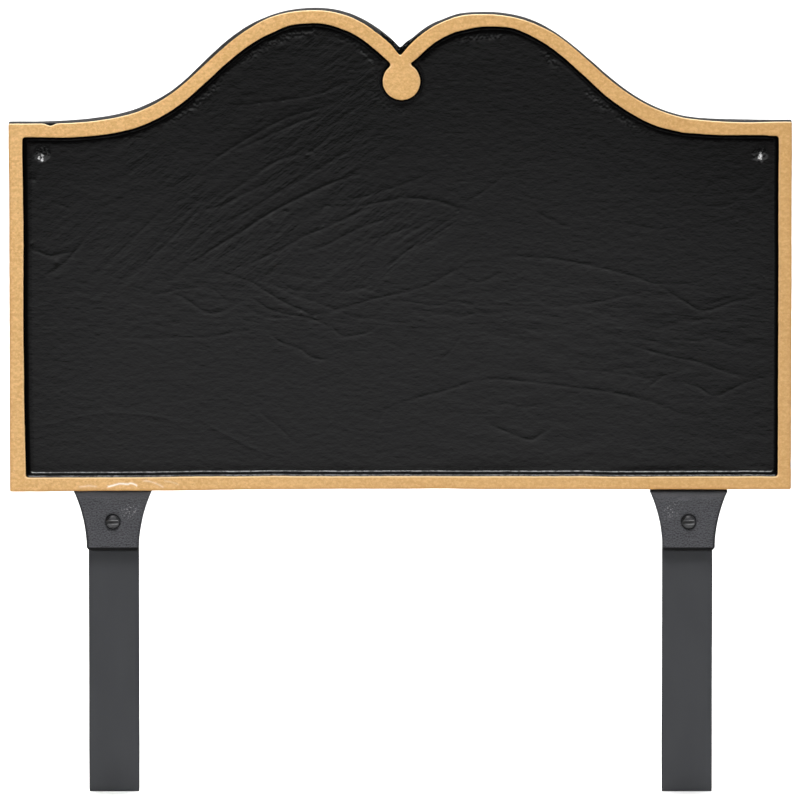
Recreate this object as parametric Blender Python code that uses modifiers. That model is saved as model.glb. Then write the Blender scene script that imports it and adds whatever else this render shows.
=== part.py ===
"""Lawn address sign: a cast plaque with a twin-arched top, on two cast brackets and two flat stakes.

The origin is on the ground line, midway between the stakes and at the middle of their thickness.
The front faces -Y, +X is to the right and +Z is up. Lengths are in metres, angles in degrees.
"""

from collections import namedtuple
import math

import bmesh
import bpy
import numpy as np

COLLECTION = "lawn_address_sign"

# Fits
GAP = 0.0003
BORE_CLEARANCE = 0.0003

# Plaque
GROUND_TO_PLAQUE = 0.1597
PLAQUE_WIDTH = 0.4064
PLAQUE_THICKNESS = 0.0095
RIM_ROUNDING = 0.0007

# Twin-arched top. Rises are above SHOULDER_HEIGHT, which is above the plaque's lower edge. X is measured
# from the plaque's centre line, and a shoulder's level run from the plaque's side.
SHOULDER_HEIGHT = 0.1925
LEFT_SHOULDER_RISE = 0.0
LEFT_SHOULDER_RUN = 0.0117
LEFT_FLANK_X = 0.1084
LEFT_FLANK_RISE = 0.0247
LEFT_FLANK_SLOPE = 43.0
LEFT_CREST_X = 0.0455
LEFT_CREST_RISE = 0.0594
LEFT_VALLEY_SLOPE = 47.0
RIGHT_SHOULDER_RISE = 0.0008
RIGHT_SHOULDER_RUN = 0.0316
RIGHT_FLANK_X = 0.1020
RIGHT_FLANK_RISE = 0.0286
RIGHT_FLANK_SLOPE = 42.3
RIGHT_CREST_X = 0.0441
RIGHT_CREST_RISE = 0.0573
RIGHT_VALLEY_SLOPE = 40.0
VALLEY_RISE = 0.0362
VALLEY_WEB = 0.0032
CURVE_FULLNESS = 0.4

# Raised border and the stepped wall down to the field
BORDER_WIDTH = 0.0068
UPPER_WALL_RUN = 0.0013
UPPER_WALL_DEPTH = 0.0020
LEDGE_WIDTH = 0.0008
LOWER_WALL_RUN = 0.0009
LOWER_WALL_DEPTH = 0.0012
RECESS_CORNER = 0.0018

# Roundel that hangs from the valley of the arches
ROUNDEL_RADIUS = 0.0098
ROUNDEL_DROP = 0.0145
ROUNDEL_SHIFT = 0.0008
NECK_FILLET = 0.0030

# Pilot dimples in the field's upper corners
DIMPLE_DIAMETER = 0.0080
DIMPLE_DEPTH = 0.0026
DIMPLE_FROM_BORDER = 0.0100

# Stakes
STAKE_INSET = 0.0540
STAKE_WIDTH = 0.0254
STAKE_THICKNESS = 0.0048
STAKE_EDGE_ROUNDING = 0.0004

# Brackets
PAD_LAP = 0.0006
PAD_TOP_WIDTH = 0.0406
PAD_HEIGHT = 0.0317
PAD_THICKNESS = 0.0050
PAD_SETBACK = 0.0025
PAD_TOP_CHAMFER = 0.0010
SHELF_THICKNESS = 0.0030
TONGUE_HEIGHT = 0.0300
TONGUE_THICKNESS = 0.0040
TONGUE_CORNER = 0.0080
BRACKET_EDGE_ROUNDING = 0.0009

# Slotted round-head screws
SCREW_HEAD_DIAMETER = 0.0081
SCREW_HEAD_HEIGHT = 0.0028
SCREW_SHANK_DIAMETER = 0.0042
SCREW_SLOT_WIDTH = 0.0013
SCREW_SLOT_DEPTH = 0.0014
PAD_SCREW_DROP = 0.0165
PAD_SCREW_PROTRUSION = 0.0015
TONGUE_SCREW_SPACING = 0.0200
TONGUE_SCREW_RISE = 0.0150
PLAQUE_SKIN_AT_SCREW = 0.0020

# Fineness of the curves
ARCH_POINTS = 34
ROUNDEL_POINTS = 26
CORNER_POINTS = 4
FLARE_POINTS = 12
SCREW_STEPS = 24
DIMPLE_STEPS = 32
ROUNDING_SEGMENTS = 2
DENSE_POINTS = 160
ROUNDED_ANGLE = 50.0
FLAT_ANGLE = 0.1
WELD_DISTANCE = 1e-6
CUTTER_MARGIN = 0.002

# Places that follow from the sizes above
HALF_WIDTH = PLAQUE_WIDTH / 2
VALLEY_HEIGHT = SHOULDER_HEIGHT + VALLEY_RISE
PAD_BACK = -STAKE_THICKNESS / 2 - GAP
PAD_FRONT = PAD_BACK - PAD_THICKNESS
PLAQUE_FRONT = PAD_FRONT - PAD_SETBACK
PLAQUE_BACK = PLAQUE_FRONT + PLAQUE_THICKNESS
LEDGE_Y = PLAQUE_FRONT + UPPER_WALL_DEPTH
FIELD_Y = LEDGE_Y + LOWER_WALL_DEPTH
TONGUE_FRONT = PLAQUE_BACK + GAP
TONGUE_BACK = TONGUE_FRONT + TONGUE_THICKNESS
SHELF_TOP = GROUND_TO_PLAQUE - GAP
SHELF_BOTTOM = SHELF_TOP - SHELF_THICKNESS
PAD_FOOT = SHELF_TOP - PAD_HEIGHT
TONGUE_TOP = SHELF_TOP + TONGUE_HEIGHT
STAKE_TOP = SHELF_BOTTOM - GAP
STAND_X = HALF_WIDTH - STAKE_INSET
PAD_SCREW_Z = SHELF_TOP - PAD_SCREW_DROP
PAD_SCREW_TIP = STAKE_THICKNESS / 2 + PAD_SCREW_PROTRUSION
TONGUE_SCREW_Z = SHELF_TOP + TONGUE_SCREW_RISE
TONGUE_SCREW_TIP = FIELD_Y + PLAQUE_SKIN_AT_SCREW
TONGUE_SCREW_X = {1: -TONGUE_SCREW_SPACING / 2, 2: TONGUE_SCREW_SPACING / 2}
SIDES = {"left": -1, "right": 1}

Arch = namedtuple(
    "Arch",
    "shoulder_rise shoulder_run flank_x flank_rise flank_slope crest_x crest_rise valley_slope",
)
ARCHES = {
    "left": Arch(
        LEFT_SHOULDER_RISE,
        LEFT_SHOULDER_RUN,
        LEFT_FLANK_X,
        LEFT_FLANK_RISE,
        LEFT_FLANK_SLOPE,
        LEFT_CREST_X,
        LEFT_CREST_RISE,
        LEFT_VALLEY_SLOPE,
    ),
    "right": Arch(
        RIGHT_SHOULDER_RISE,
        RIGHT_SHOULDER_RUN,
        RIGHT_FLANK_X,
        RIGHT_FLANK_RISE,
        RIGHT_FLANK_SLOPE,
        RIGHT_CREST_X,
        RIGHT_CREST_RISE,
        RIGHT_VALLEY_SLOPE,
    ),
}


def clear_scene():
    for obj in list(bpy.data.objects):
        bpy.data.objects.remove(obj, do_unlink=True)


def new_collection(name):
    collection = bpy.data.collections.new(name)
    bpy.context.scene.collection.children.link(collection)
    return collection


def material(name, colour, metallic, roughness):
    made = bpy.data.materials.new(name)
    made.use_nodes = True
    shader = made.node_tree.nodes["Principled BSDF"]
    shader.inputs["Base Color"].default_value = (*colour, 1.0)
    shader.inputs["Metallic"].default_value = metallic
    shader.inputs["Roughness"].default_value = roughness
    return made


def object_from_bmesh(name, bm, collection):
    mesh = bpy.data.meshes.new(name)
    bm.to_mesh(mesh)
    bm.free()
    obj = bpy.data.objects.new(name, mesh)
    collection.objects.link(obj)
    return obj


def extruded(name, outline, thickness, collection):
    """A solid from a closed outline in the object's XY plane, as thick to either side of it."""
    curve = bpy.data.curves.new(name, "CURVE")
    curve.dimensions = "2D"
    curve.fill_mode = "BOTH"
    curve.extrude = thickness / 2
    spline = curve.splines.new("POLY")
    spline.points.add(len(outline) - 1)
    for point, (x, y) in zip(spline.points, outline):
        point.co = (x, y, 0, 1)
    spline.use_cyclic_u = True
    source = bpy.data.objects.new(name + "_curve", curve)
    collection.objects.link(source)
    bpy.context.view_layer.update()
    mesh = bpy.data.meshes.new_from_object(source.evaluated_get(bpy.context.evaluated_depsgraph_get()))
    bpy.data.objects.remove(source)
    bm = bmesh.new()
    bm.from_mesh(mesh)
    bmesh.ops.remove_doubles(bm, verts=bm.verts, dist=WELD_DISTANCE)
    bmesh.ops.dissolve_limit(bm, angle_limit=math.radians(FLAT_ANGLE), verts=bm.verts, edges=bm.edges)
    bmesh.ops.recalc_face_normals(bm, faces=bm.faces)
    bm.to_mesh(mesh)
    bm.free()
    obj = bpy.data.objects.new(name, mesh)
    collection.objects.link(obj)
    return obj


def extruded_facing_front(name, outline, y_front, y_back, collection):
    """A solid from an outline of (x, z) points between two depths."""
    obj = extruded(name, outline, y_back - y_front, collection)
    obj.location.y = (y_front + y_back) / 2
    obj.rotation_euler.x = math.radians(90)
    return obj


def lofted(name, sections, collection):
    """A solid through sections, each an outline of (x, z) points and its depth, front to back."""
    bm = bmesh.new()
    rings = [[bm.verts.new((x, y, z)) for x, z in outline] for outline, y in sections]
    for front, back in zip(rings, rings[1:]):
        for i in range(len(front)):
            bm.faces.new((front[i - 1], front[i], back[i], back[i - 1]))
    bm.faces.new(rings[0])
    bm.faces.new(rings[-1])
    bmesh.ops.recalc_face_normals(bm, faces=bm.faces)
    return object_from_bmesh(name, bm, collection)


def box(name, low, high, collection):
    bm = bmesh.new()
    bmesh.ops.create_cube(bm, size=1.0)
    size = [b - a for a, b in zip(low, high)]
    centre = [(a + b) / 2 for a, b in zip(low, high)]
    bmesh.ops.scale(bm, vec=size, verts=bm.verts)
    bmesh.ops.translate(bm, vec=centre, verts=bm.verts)
    return object_from_bmesh(name, bm, collection)


def cone_along_y(name, centre_x, centre_z, front, back, steps, collection):
    """A cone or cylinder whose ends are each a (depth, radius)."""
    bm = bmesh.new()
    bmesh.ops.create_cone(
        bm,
        cap_ends=True,
        segments=steps,
        radius1=back[1],
        radius2=front[1],
        depth=back[0] - front[0],
    )
    obj = object_from_bmesh(name, bm, collection)
    obj.location = (centre_x, (front[0] + back[0]) / 2, centre_z)
    obj.rotation_euler.x = math.radians(90)
    return obj


def bore(name, centre_x, centre_z, ends, collection):
    """The cutter of a screw's hole, between two depths."""
    radius = SCREW_SHANK_DIAMETER / 2 + BORE_CLEARANCE
    front, back = ends
    return cone_along_y(name, centre_x, centre_z, (front, radius), (back, radius), SCREW_STEPS, collection)


def boolean(obj, operation, other):
    other.display_type = "WIRE"
    other.hide_render = True
    modifier = obj.modifiers.new(other.name, "BOOLEAN")
    modifier.operation = operation
    modifier.solver = "EXACT"
    modifier.object = other


def rounded(obj, width):
    modifier = obj.modifiers.new("rounding", "BEVEL")
    modifier.limit_method = "ANGLE"
    modifier.angle_limit = math.radians(ROUNDED_ANGLE)
    modifier.width = width
    modifier.segments = ROUNDING_SEGMENTS


def bezier(controls, count):
    """Points of the curve that a list of control points gives, from the first to the last."""
    t = np.linspace(0, 1, count)[:, None]
    degree = len(controls) - 1
    return sum(math.comb(degree, k) * t**k * (1 - t) ** (degree - k) * p for k, p in enumerate(controls))


def smooth_run(start, start_heading, end, end_heading):
    """A curve that leaves start and reaches end along the given headings."""
    pull = CURVE_FULLNESS * np.linalg.norm(end - start)
    return bezier([start, start + pull * start_heading, end - pull * end_heading, end], DENSE_POINTS)


def arch_curve(label, valley_height):
    """The top edge over one arch, as dense points from beyond the shoulder's end to the valley."""
    arch = ARCHES[label]
    flank_angle = math.radians(arch.flank_slope)
    valley_angle = math.radians(arch.valley_slope)
    shoulder_height = SHOULDER_HEIGHT + arch.shoulder_rise
    beyond = np.array([HALF_WIDTH + CUTTER_MARGIN, shoulder_height])
    rise = np.array([HALF_WIDTH - arch.shoulder_run, shoulder_height])
    flank = np.array([arch.flank_x, SHOULDER_HEIGHT + arch.flank_rise])
    crest = np.array([arch.crest_x, SHOULDER_HEIGHT + arch.crest_rise])
    valley = np.array([0.0, valley_height])
    inward = np.array([-1.0, 0.0])
    up_the_flank = np.array([-math.cos(flank_angle), math.sin(flank_angle)])
    down_to_valley = np.array([-math.sin(valley_angle), -math.cos(valley_angle)])
    points = np.concatenate(
        [
            [beyond],
            smooth_run(rise, inward, flank, up_the_flank),
            smooth_run(flank, up_the_flank, crest, inward)[1:],
            smooth_run(crest, inward, valley, down_to_valley)[1:],
        ]
    )
    return points * (SIDES[label], 1)


def offset_right(points, distance):
    """An open curve moved sideways, to the right of its direction of travel."""
    heading = np.gradient(points, axis=0)
    heading /= np.linalg.norm(heading, axis=1)[:, None]
    return points + distance * np.column_stack([heading[:, 1], -heading[:, 0]])


def straight_on(before, end, distance):
    """The point this far beyond a curve's end."""
    return end + (end - before) * distance / np.linalg.norm(end - before)


def along(points, start, stop, count):
    """Evenly spaced points of a curve, leaving out given lengths at its two ends."""
    steps = np.linalg.norm(np.diff(points, axis=0), axis=1)
    length = np.concatenate([[0.0], np.cumsum(steps)])
    wanted = np.linspace(start, length[-1] - stop, count)
    return np.column_stack([np.interp(wanted, length, points[:, 0]), np.interp(wanted, length, points[:, 1])])


def meeting(first, second):
    """Two curves cut where the first one meets the second: (the first up to there, the second from there)."""
    a, da = first[:-1, None], np.diff(first, axis=0)[:, None]
    b, db = second[None, :-1], np.diff(second, axis=0)[None]
    gap = b - a
    cross = da[..., 0] * db[..., 1] - da[..., 1] * db[..., 0]
    cross = np.where(cross == 0, np.inf, cross)
    s = (gap[..., 0] * db[..., 1] - gap[..., 1] * db[..., 0]) / cross
    t = (gap[..., 0] * da[..., 1] - gap[..., 1] * da[..., 0]) / cross
    hits = np.argwhere((s >= 0) & (s <= 1) & (t >= 0) & (t <= 1))
    i, j = hits[0]
    point = first[i] + s[i, j] * (first[i + 1] - first[i])
    return np.vstack([first[: i + 1], point]), np.vstack([point, second[j + 1 :]])


def corner(before, after, cut):
    """Points of a rounded corner between two curves, each cut back by the given length."""
    start = along(before, 0, cut, 2)[-1]
    end = along(after, cut, 0, 2)[0]
    return bezier([start, before[-1], end], CORNER_POINTS + 2)


def plaque_outline(valley_height):
    """The plaque's outer edge, clockwise from its lower left corner."""
    left_side = np.array([(-HALF_WIDTH, 0.0), (-HALF_WIDTH, valley_height)])
    right_side = np.array([(HALF_WIDTH, valley_height), (HALF_WIDTH, 0.0)])
    left_side, left_arch = meeting(left_side, arch_curve("left", valley_height))
    right_arch, right_side = meeting(arch_curve("right", valley_height)[::-1], right_side)
    return np.concatenate(
        [
            left_side[:-1],
            along(left_arch, 0, 0, ARCH_POINTS),
            along(right_arch, 0, 0, ARCH_POINTS)[1:],
            right_side[1:],
        ]
    )


def recess_outline(inset):
    """The border's inner edge, or a line of the stepped wall, this far inside the plaque's outer edge."""
    half = HALF_WIDTH - inset
    radius = ROUNDEL_RADIUS + inset - BORDER_WIDTH
    angle = np.radians(np.linspace(90, 450, DENSE_POINTS))
    centre = np.array([ROUNDEL_SHIFT, VALLEY_HEIGHT - ROUNDEL_DROP])
    roundel = centre + radius * np.column_stack([np.cos(angle), np.sin(angle)])
    left_arch = offset_right(arch_curve("left", VALLEY_HEIGHT), inset)
    right_arch = offset_right(arch_curve("right", VALLEY_HEIGHT)[::-1], inset)
    into_left = straight_on(left_arch[-2], left_arch[-1], radius)
    into_right = straight_on(right_arch[1], right_arch[0], radius)
    left_side = np.array([(-half, inset), (-half, VALLEY_HEIGHT)])
    right_side = np.array([(half, VALLEY_HEIGHT), (half, inset)])
    left_side, left_arch = meeting(left_side, np.vstack([left_arch, into_left]))
    left_arch, roundel = meeting(left_arch, roundel)
    roundel, right_arch = meeting(roundel, np.vstack([into_right, right_arch]))
    right_arch, right_side = meeting(right_arch, right_side)
    bottom = np.array([right_side[-1], left_side[0]])
    runs = [
        (left_side, 2, RECESS_CORNER),
        (left_arch, ARCH_POINTS, NECK_FILLET),
        (roundel, ROUNDEL_POINTS, NECK_FILLET),
        (right_arch, ARCH_POINTS, RECESS_CORNER),
        (right_side, 2, RECESS_CORNER),
        (bottom, 2, RECESS_CORNER),
    ]
    pieces = []
    for i, (run, count, cut) in enumerate(runs):
        cut_before = runs[i - 1][2]
        following = runs[(i + 1) % len(runs)][0]
        pieces.append(along(run, cut_before, cut, count))
        pieces.append(corner(run, following, cut)[1:-1])
    return np.concatenate(pieces)


def make_plaque(parts, cutters):
    lift = np.array([0.0, GROUND_TO_PLAQUE])
    front_edge = plaque_outline(VALLEY_HEIGHT) + lift
    back_edge = plaque_outline(VALLEY_HEIGHT + VALLEY_WEB) + lift
    plaque = lofted("plaque", [(front_edge, PLAQUE_FRONT), (back_edge, PLAQUE_BACK)], parts)
    rounded(plaque, RIM_ROUNDING)
    ledge_start = BORDER_WIDTH + UPPER_WALL_RUN
    ledge_end = ledge_start + LEDGE_WIDTH
    sections = [
        (recess_outline(BORDER_WIDTH) + lift, PLAQUE_FRONT - CUTTER_MARGIN),
        (recess_outline(BORDER_WIDTH) + lift, PLAQUE_FRONT),
        (recess_outline(ledge_start) + lift, LEDGE_Y),
        (recess_outline(ledge_end) + lift, LEDGE_Y),
        (recess_outline(ledge_end + LOWER_WALL_RUN) + lift, FIELD_Y),
    ]
    boolean(plaque, "DIFFERENCE", lofted("recess_cutter", sections, cutters))
    for label, side in SIDES.items():
        boolean(plaque, "DIFFERENCE", make_dimple_cutter(label, side, cutters))
        for number, screw_x in TONGUE_SCREW_X.items():
            name = f"plaque_bore_cutter_{label}_{number}"
            bore_x = side * STAND_X + screw_x
            ends = (TONGUE_SCREW_TIP - BORE_CLEARANCE, PLAQUE_BACK + CUTTER_MARGIN)
            boolean(plaque, "DIFFERENCE", bore(name, bore_x, TONGUE_SCREW_Z, ends, cutters))
    plaque.data.materials.append(material("plaque_black_paint", (0.020, 0.020, 0.020), 0.0, 0.45))


def make_dimple_cutter(label, side, cutters):
    """A cone whose point is at the dimple's bottom, and which opens as far again in front of the field."""
    from_edge = BORDER_WIDTH + DIMPLE_FROM_BORDER
    shoulder_z = GROUND_TO_PLAQUE + SHOULDER_HEIGHT + ARCHES[label].shoulder_rise
    return cone_along_y(
        f"dimple_cutter_{label}",
        side * (HALF_WIDTH - from_edge),
        shoulder_z - from_edge,
        (FIELD_Y - DIMPLE_DEPTH, DIMPLE_DIAMETER),
        (FIELD_Y + DIMPLE_DEPTH, 0.0),
        DIMPLE_STEPS,
        cutters,
    )


def bracket_outline():
    """The bracket from the front: a flared pad, then straight up to a tongue with round corners."""
    foot_half = STAKE_WIDTH / 2 + PAD_LAP
    top_half = PAD_TOP_WIDTH / 2
    flare = top_half - foot_half
    radius = (PAD_HEIGHT**2 + flare**2) / (2 * flare)
    sweep = np.linspace(0, math.asin(PAD_HEIGHT / radius), FLARE_POINTS)
    flank = np.column_stack([foot_half + radius * (1 - np.cos(sweep)), PAD_FOOT + radius * np.sin(sweep)])
    turn = np.linspace(0, math.pi / 2, CORNER_POINTS + 2)
    corner_x = top_half - TONGUE_CORNER + TONGUE_CORNER * np.cos(turn)
    corner_z = TONGUE_TOP - TONGUE_CORNER + TONGUE_CORNER * np.sin(turn)
    right = np.concatenate([flank, np.column_stack([corner_x, corner_z])])
    left = right[::-1] * (-1, 1)
    return np.concatenate([right, left])


def bracket_side_profile():
    """The bracket from the side, as (z, y) points. It runs past the front, back, top and foot."""
    front = PAD_FRONT - CUTTER_MARGIN
    back = TONGUE_BACK + CUTTER_MARGIN
    chamfer_low = SHELF_TOP - PAD_TOP_CHAMFER - CUTTER_MARGIN
    return [
        (PAD_FOOT - CUTTER_MARGIN, front),
        (chamfer_low, front),
        (SHELF_TOP, PAD_FRONT + PAD_TOP_CHAMFER),
        (SHELF_TOP, TONGUE_FRONT),
        (TONGUE_TOP + CUTTER_MARGIN, TONGUE_FRONT),
        (TONGUE_TOP + CUTTER_MARGIN, back),
        (SHELF_BOTTOM, back),
        (SHELF_BOTTOM, PAD_BACK),
        (PAD_FOOT - CUTTER_MARGIN, PAD_BACK),
    ]


def make_bracket(label, stand, parts, cutters):
    bracket = extruded_facing_front(f"bracket_{label}", bracket_outline(), PAD_FRONT, TONGUE_BACK, parts)
    rounded(bracket, BRACKET_EDGE_ROUNDING)
    profile_width = PAD_TOP_WIDTH + 2 * CUTTER_MARGIN
    profile = extruded(f"bracket_profile_{label}", bracket_side_profile(), profile_width, cutters)
    profile.rotation_euler.y = math.radians(-90)
    boolean(bracket, "INTERSECT", profile)
    profile.parent = stand
    ends = (PAD_FRONT - CUTTER_MARGIN, STAKE_THICKNESS / 2 + CUTTER_MARGIN)
    pad_bore = bore(f"pad_bore_cutter_{label}", 0.0, PAD_SCREW_Z, ends, cutters)
    pad_bore.parent = stand
    boolean(bracket, "DIFFERENCE", pad_bore)
    for number, x in TONGUE_SCREW_X.items():
        ends = (TONGUE_FRONT - CUTTER_MARGIN, TONGUE_BACK + CUTTER_MARGIN)
        tongue_bore = bore(f"tongue_bore_cutter_{label}_{number}", x, TONGUE_SCREW_Z, ends, cutters)
        tongue_bore.parent = stand
        boolean(bracket, "DIFFERENCE", tongue_bore)
    bracket.data.materials.append(material(f"bracket_{label}_paint", (0.075, 0.075, 0.082), 0.0, 0.5))
    bracket.parent = stand
    return pad_bore


def make_stake(label, stand, pad_bore, parts):
    half = STAKE_WIDTH / 2
    low = (-half, -STAKE_THICKNESS / 2, 0.0)
    high = (half, STAKE_THICKNESS / 2, STAKE_TOP)
    stake = box(f"stake_{label}", low, high, parts)
    rounded(stake, STAKE_EDGE_ROUNDING)
    boolean(stake, "DIFFERENCE", pad_bore)
    stake.data.materials.append(material(f"stake_{label}_paint", (0.062, 0.063, 0.070), 0.0, 0.35))
    stake.parent = stand


def make_screw(name, x, z, seat_y, tip_y, stand, parts, cutters):
    """A slotted round-head screw along Y, with its head's underside at seat_y and its end at tip_y."""
    head = SCREW_HEAD_DIAMETER / 2
    shank = SCREW_SHANK_DIAMETER / 2
    dome = [
        (head * math.sin(a), SCREW_HEAD_HEIGHT * math.cos(a))
        for a in np.linspace(0, math.pi / 2, CORNER_POINTS + 3)
    ]
    length = abs(tip_y - seat_y)
    profile = [*dome, (shank, 0.0), (shank, -length), (0.0, -length)]
    bm = bmesh.new()
    points = [bm.verts.new((radius, 0.0, height)) for radius, height in profile]
    for start, end in zip(points, points[1:]):
        bm.edges.new((start, end))
    screw = object_from_bmesh(name, bm, parts)
    turn = screw.modifiers.new("turn", "SCREW")
    turn.steps = SCREW_STEPS
    turn.render_steps = SCREW_STEPS
    turn.use_merge_vertices = True
    turn.merge_threshold = WELD_DISTANCE
    turn.use_smooth_shade = False
    slot_low = (-head, -SCREW_SLOT_WIDTH / 2, SCREW_HEAD_HEIGHT - SCREW_SLOT_DEPTH)
    slot_high = (head, SCREW_SLOT_WIDTH / 2, SCREW_HEAD_HEIGHT + CUTTER_MARGIN)
    slot = box(f"{name}_slot_cutter", slot_low, slot_high, cutters)
    slot.parent = screw
    boolean(screw, "DIFFERENCE", slot)
    faces_front = seat_y < tip_y
    screw.rotation_euler.x = math.radians(90 if faces_front else -90)
    screw.location = (x, seat_y, z)
    screw.data.materials.append(material(f"{name}_steel", (0.090, 0.090, 0.095), 0.4, 0.4))
    screw.parent = stand


def make_stand(label, side, parts, cutters):
    """One bracket with its stake and screws, about an empty on the ground line."""
    stand = bpy.data.objects.new(f"stand_{label}", None)
    stand.location.x = side * STAND_X
    parts.objects.link(stand)
    pad_bore = make_bracket(label, stand, parts, cutters)
    make_stake(label, stand, pad_bore, parts)
    make_screw(f"pad_screw_{label}", 0.0, PAD_SCREW_Z, PAD_FRONT - GAP, PAD_SCREW_TIP, stand, parts, cutters)
    for number, x in TONGUE_SCREW_X.items():
        name = f"tongue_screw_{label}_{number}"
        make_screw(name, x, TONGUE_SCREW_Z, TONGUE_BACK + GAP, TONGUE_SCREW_TIP, stand, parts, cutters)


def main():
    clear_scene()
    parts = new_collection(COLLECTION)
    cutters = new_collection(COLLECTION + "_cutters")
    cutters.hide_render = True
    make_plaque(parts, cutters)
    for label, side in SIDES.items():
        make_stand(label, side, parts, cutters)


main()
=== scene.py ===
"""Lawn address sign in a pale studio: a cast plaque with a gilt border, on two cast brackets and two stakes.

Lengths are in metres and angles in degrees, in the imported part's frame: the origin is on the ground line,
the front faces -Y, +X is to the right and +Z is up.
"""

from collections import namedtuple
import itertools
import math

import bmesh
import bpy
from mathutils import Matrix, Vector, geometry, kdtree
import numpy as np


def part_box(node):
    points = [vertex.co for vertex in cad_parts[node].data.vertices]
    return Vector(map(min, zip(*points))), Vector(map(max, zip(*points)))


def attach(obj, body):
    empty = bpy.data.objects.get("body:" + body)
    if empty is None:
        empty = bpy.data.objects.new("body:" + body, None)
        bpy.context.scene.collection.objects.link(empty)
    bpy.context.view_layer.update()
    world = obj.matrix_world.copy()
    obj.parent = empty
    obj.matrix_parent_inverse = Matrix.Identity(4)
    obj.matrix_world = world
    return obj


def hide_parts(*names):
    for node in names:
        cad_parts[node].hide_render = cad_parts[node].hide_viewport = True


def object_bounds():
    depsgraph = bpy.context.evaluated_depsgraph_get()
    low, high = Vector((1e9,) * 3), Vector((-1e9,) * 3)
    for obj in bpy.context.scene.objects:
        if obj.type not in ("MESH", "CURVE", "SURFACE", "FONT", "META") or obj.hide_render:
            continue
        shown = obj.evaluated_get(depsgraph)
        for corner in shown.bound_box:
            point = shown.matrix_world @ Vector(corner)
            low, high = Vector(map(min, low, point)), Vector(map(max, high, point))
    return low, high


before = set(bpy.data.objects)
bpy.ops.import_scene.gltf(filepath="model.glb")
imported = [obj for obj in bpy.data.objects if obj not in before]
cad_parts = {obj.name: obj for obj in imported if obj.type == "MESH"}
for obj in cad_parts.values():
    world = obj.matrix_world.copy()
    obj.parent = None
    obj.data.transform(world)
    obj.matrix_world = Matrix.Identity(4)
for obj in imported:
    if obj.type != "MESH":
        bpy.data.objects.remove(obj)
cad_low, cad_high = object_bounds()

MM = 0.001
BODY = "root"

# Camera: the photograph's view, from far enough away to look parallel
CAMERA_ELEVATION = 8.5
CAMERA_DISTANCE = 10.0
CAMERA_AIM_Z = 0.2057
CAMERA_SENSOR_MM = 36.0
PICTURE_PIXELS = 800
PICTURE_WIDTH = 0.4155
PIXEL = PICTURE_WIDTH / PICTURE_PIXELS
LOWEST_ROW_Z = CAMERA_AIM_Z - PICTURE_WIDTH / 2

# Plaque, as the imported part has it
PLAQUE_LOW, PLAQUE_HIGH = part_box("plaque")
HALF_WIDTH = PLAQUE_HIGH.x
FOOT_Z = PLAQUE_LOW.z
FRONT_Y = PLAQUE_LOW.y
BACK_Y = PLAQUE_HIGH.y
OUTLINE_MARGIN = 0.20 * MM
SHOULDER_HEIGHT = 0.1925
SHOULDER_Z = FOOT_Z + SHOULDER_HEIGHT
VALLEY_HEIGHT = SHOULDER_HEIGHT + 0.0362
VALLEY_WEB = 3.2 * MM
VALLEY_WEB_SPEED = 0.35
CURVE_FULLNESS = 0.4
Arch = namedtuple(
    "Arch",
    "side shoulder_rise shoulder_run flank_x flank_rise flank_slope crest_x crest_rise valley_slope",
)
LEFT_ARCH = Arch(
    side=-1,
    shoulder_rise=0.0,
    shoulder_run=0.0117,
    flank_x=0.1084,
    flank_rise=0.0247,
    flank_slope=43.0,
    crest_x=0.0455,
    crest_rise=0.0594,
    valley_slope=47.0,
)
RIGHT_ARCH = Arch(
    side=1,
    shoulder_rise=0.0008,
    shoulder_run=0.0316,
    flank_x=0.1020,
    flank_rise=0.0286,
    flank_slope=42.3,
    crest_x=0.0441,
    crest_rise=0.0573,
    valley_slope=40.0,
)

# Rim, border and stepped wall
RIM_ROUNDING = 0.50 * MM
RIM_EDGE_STEPS = 3
BORDER_EDGE_STEPS = 4
BACK_ROUNDING = 0.5 * MM
OUTER_CORNER = 1.0 * MM
VALLEY_CORNER = 1.4 * MM
BORDER_WIDTH = 6.8 * MM
BORDER_ROUNDING = 0.65 * MM
UPPER_WALL_RUN = 1.15 * MM
UPPER_WALL_DEPTH = 2.0 * MM
UPPER_WALL_STEPS = (5, 6)
UPPER_WALL_ROUGHNESS = 0.12 * MM
LEDGE_WIDTH = 1.0 * MM
LOWER_WALL_RUN = 0.55 * MM
LOWER_WALL_DEPTH = 1.2 * MM
RECESS_CORNER = 1.8 * MM
LEDGE_Y = FRONT_Y + UPPER_WALL_DEPTH
FIELD_Y = LEDGE_Y + LOWER_WALL_DEPTH
ROUNDEL_RADIUS = 9.5 * MM
ROUNDEL_DROP = 14.5 * MM
ROUNDEL_SHIFT = 0.8 * MM
ROUNDEL_CENTRE = np.array([ROUNDEL_SHIFT, FOOT_Z + VALLEY_HEIGHT - ROUNDEL_DROP])
NECK_FILLET = 3.0 * MM
LEFT_SAG = 1.1 * MM
LEFT_SAG_END_X = -0.030
SAG_DEPTH_BAND = (2.2 * MM, 0.9 * MM)

# Painted light and shade, where 1 is a pale painted highlight and -1 black painted shade: of each line
# of the stepped wall, from the border's face to the field, and of the border's rounded edges
WALL_TONES = {
    "under": (0, 0, 0, -0.3, -0.9, -1.0, -1.0, -1.0, 0.06, -0.5, -1.0, -0.8, -0.4),
    "left": (0, 0, 0, -0.3, -0.7, -1.0, -1.0, -1.0, -0.9, -0.7, -0.6, -0.4, -0.3),
    "right": (0, 0, 0, -0.3, -0.7, -1.0, -1.0, -0.9, -0.7, -0.3, 0.0, 0.04, 0.02),
    "over": (0, 0, 0, 0.0, 0.1, 0.45, 0.40, -0.3, -0.3, 0.0, 1.0, 0.0, 0.0),
}
EDGE_TONES = {"up": 0.65, "down": -0.85, "lip": -0.35, "outer": -0.70, "inner": 0.30}
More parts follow.
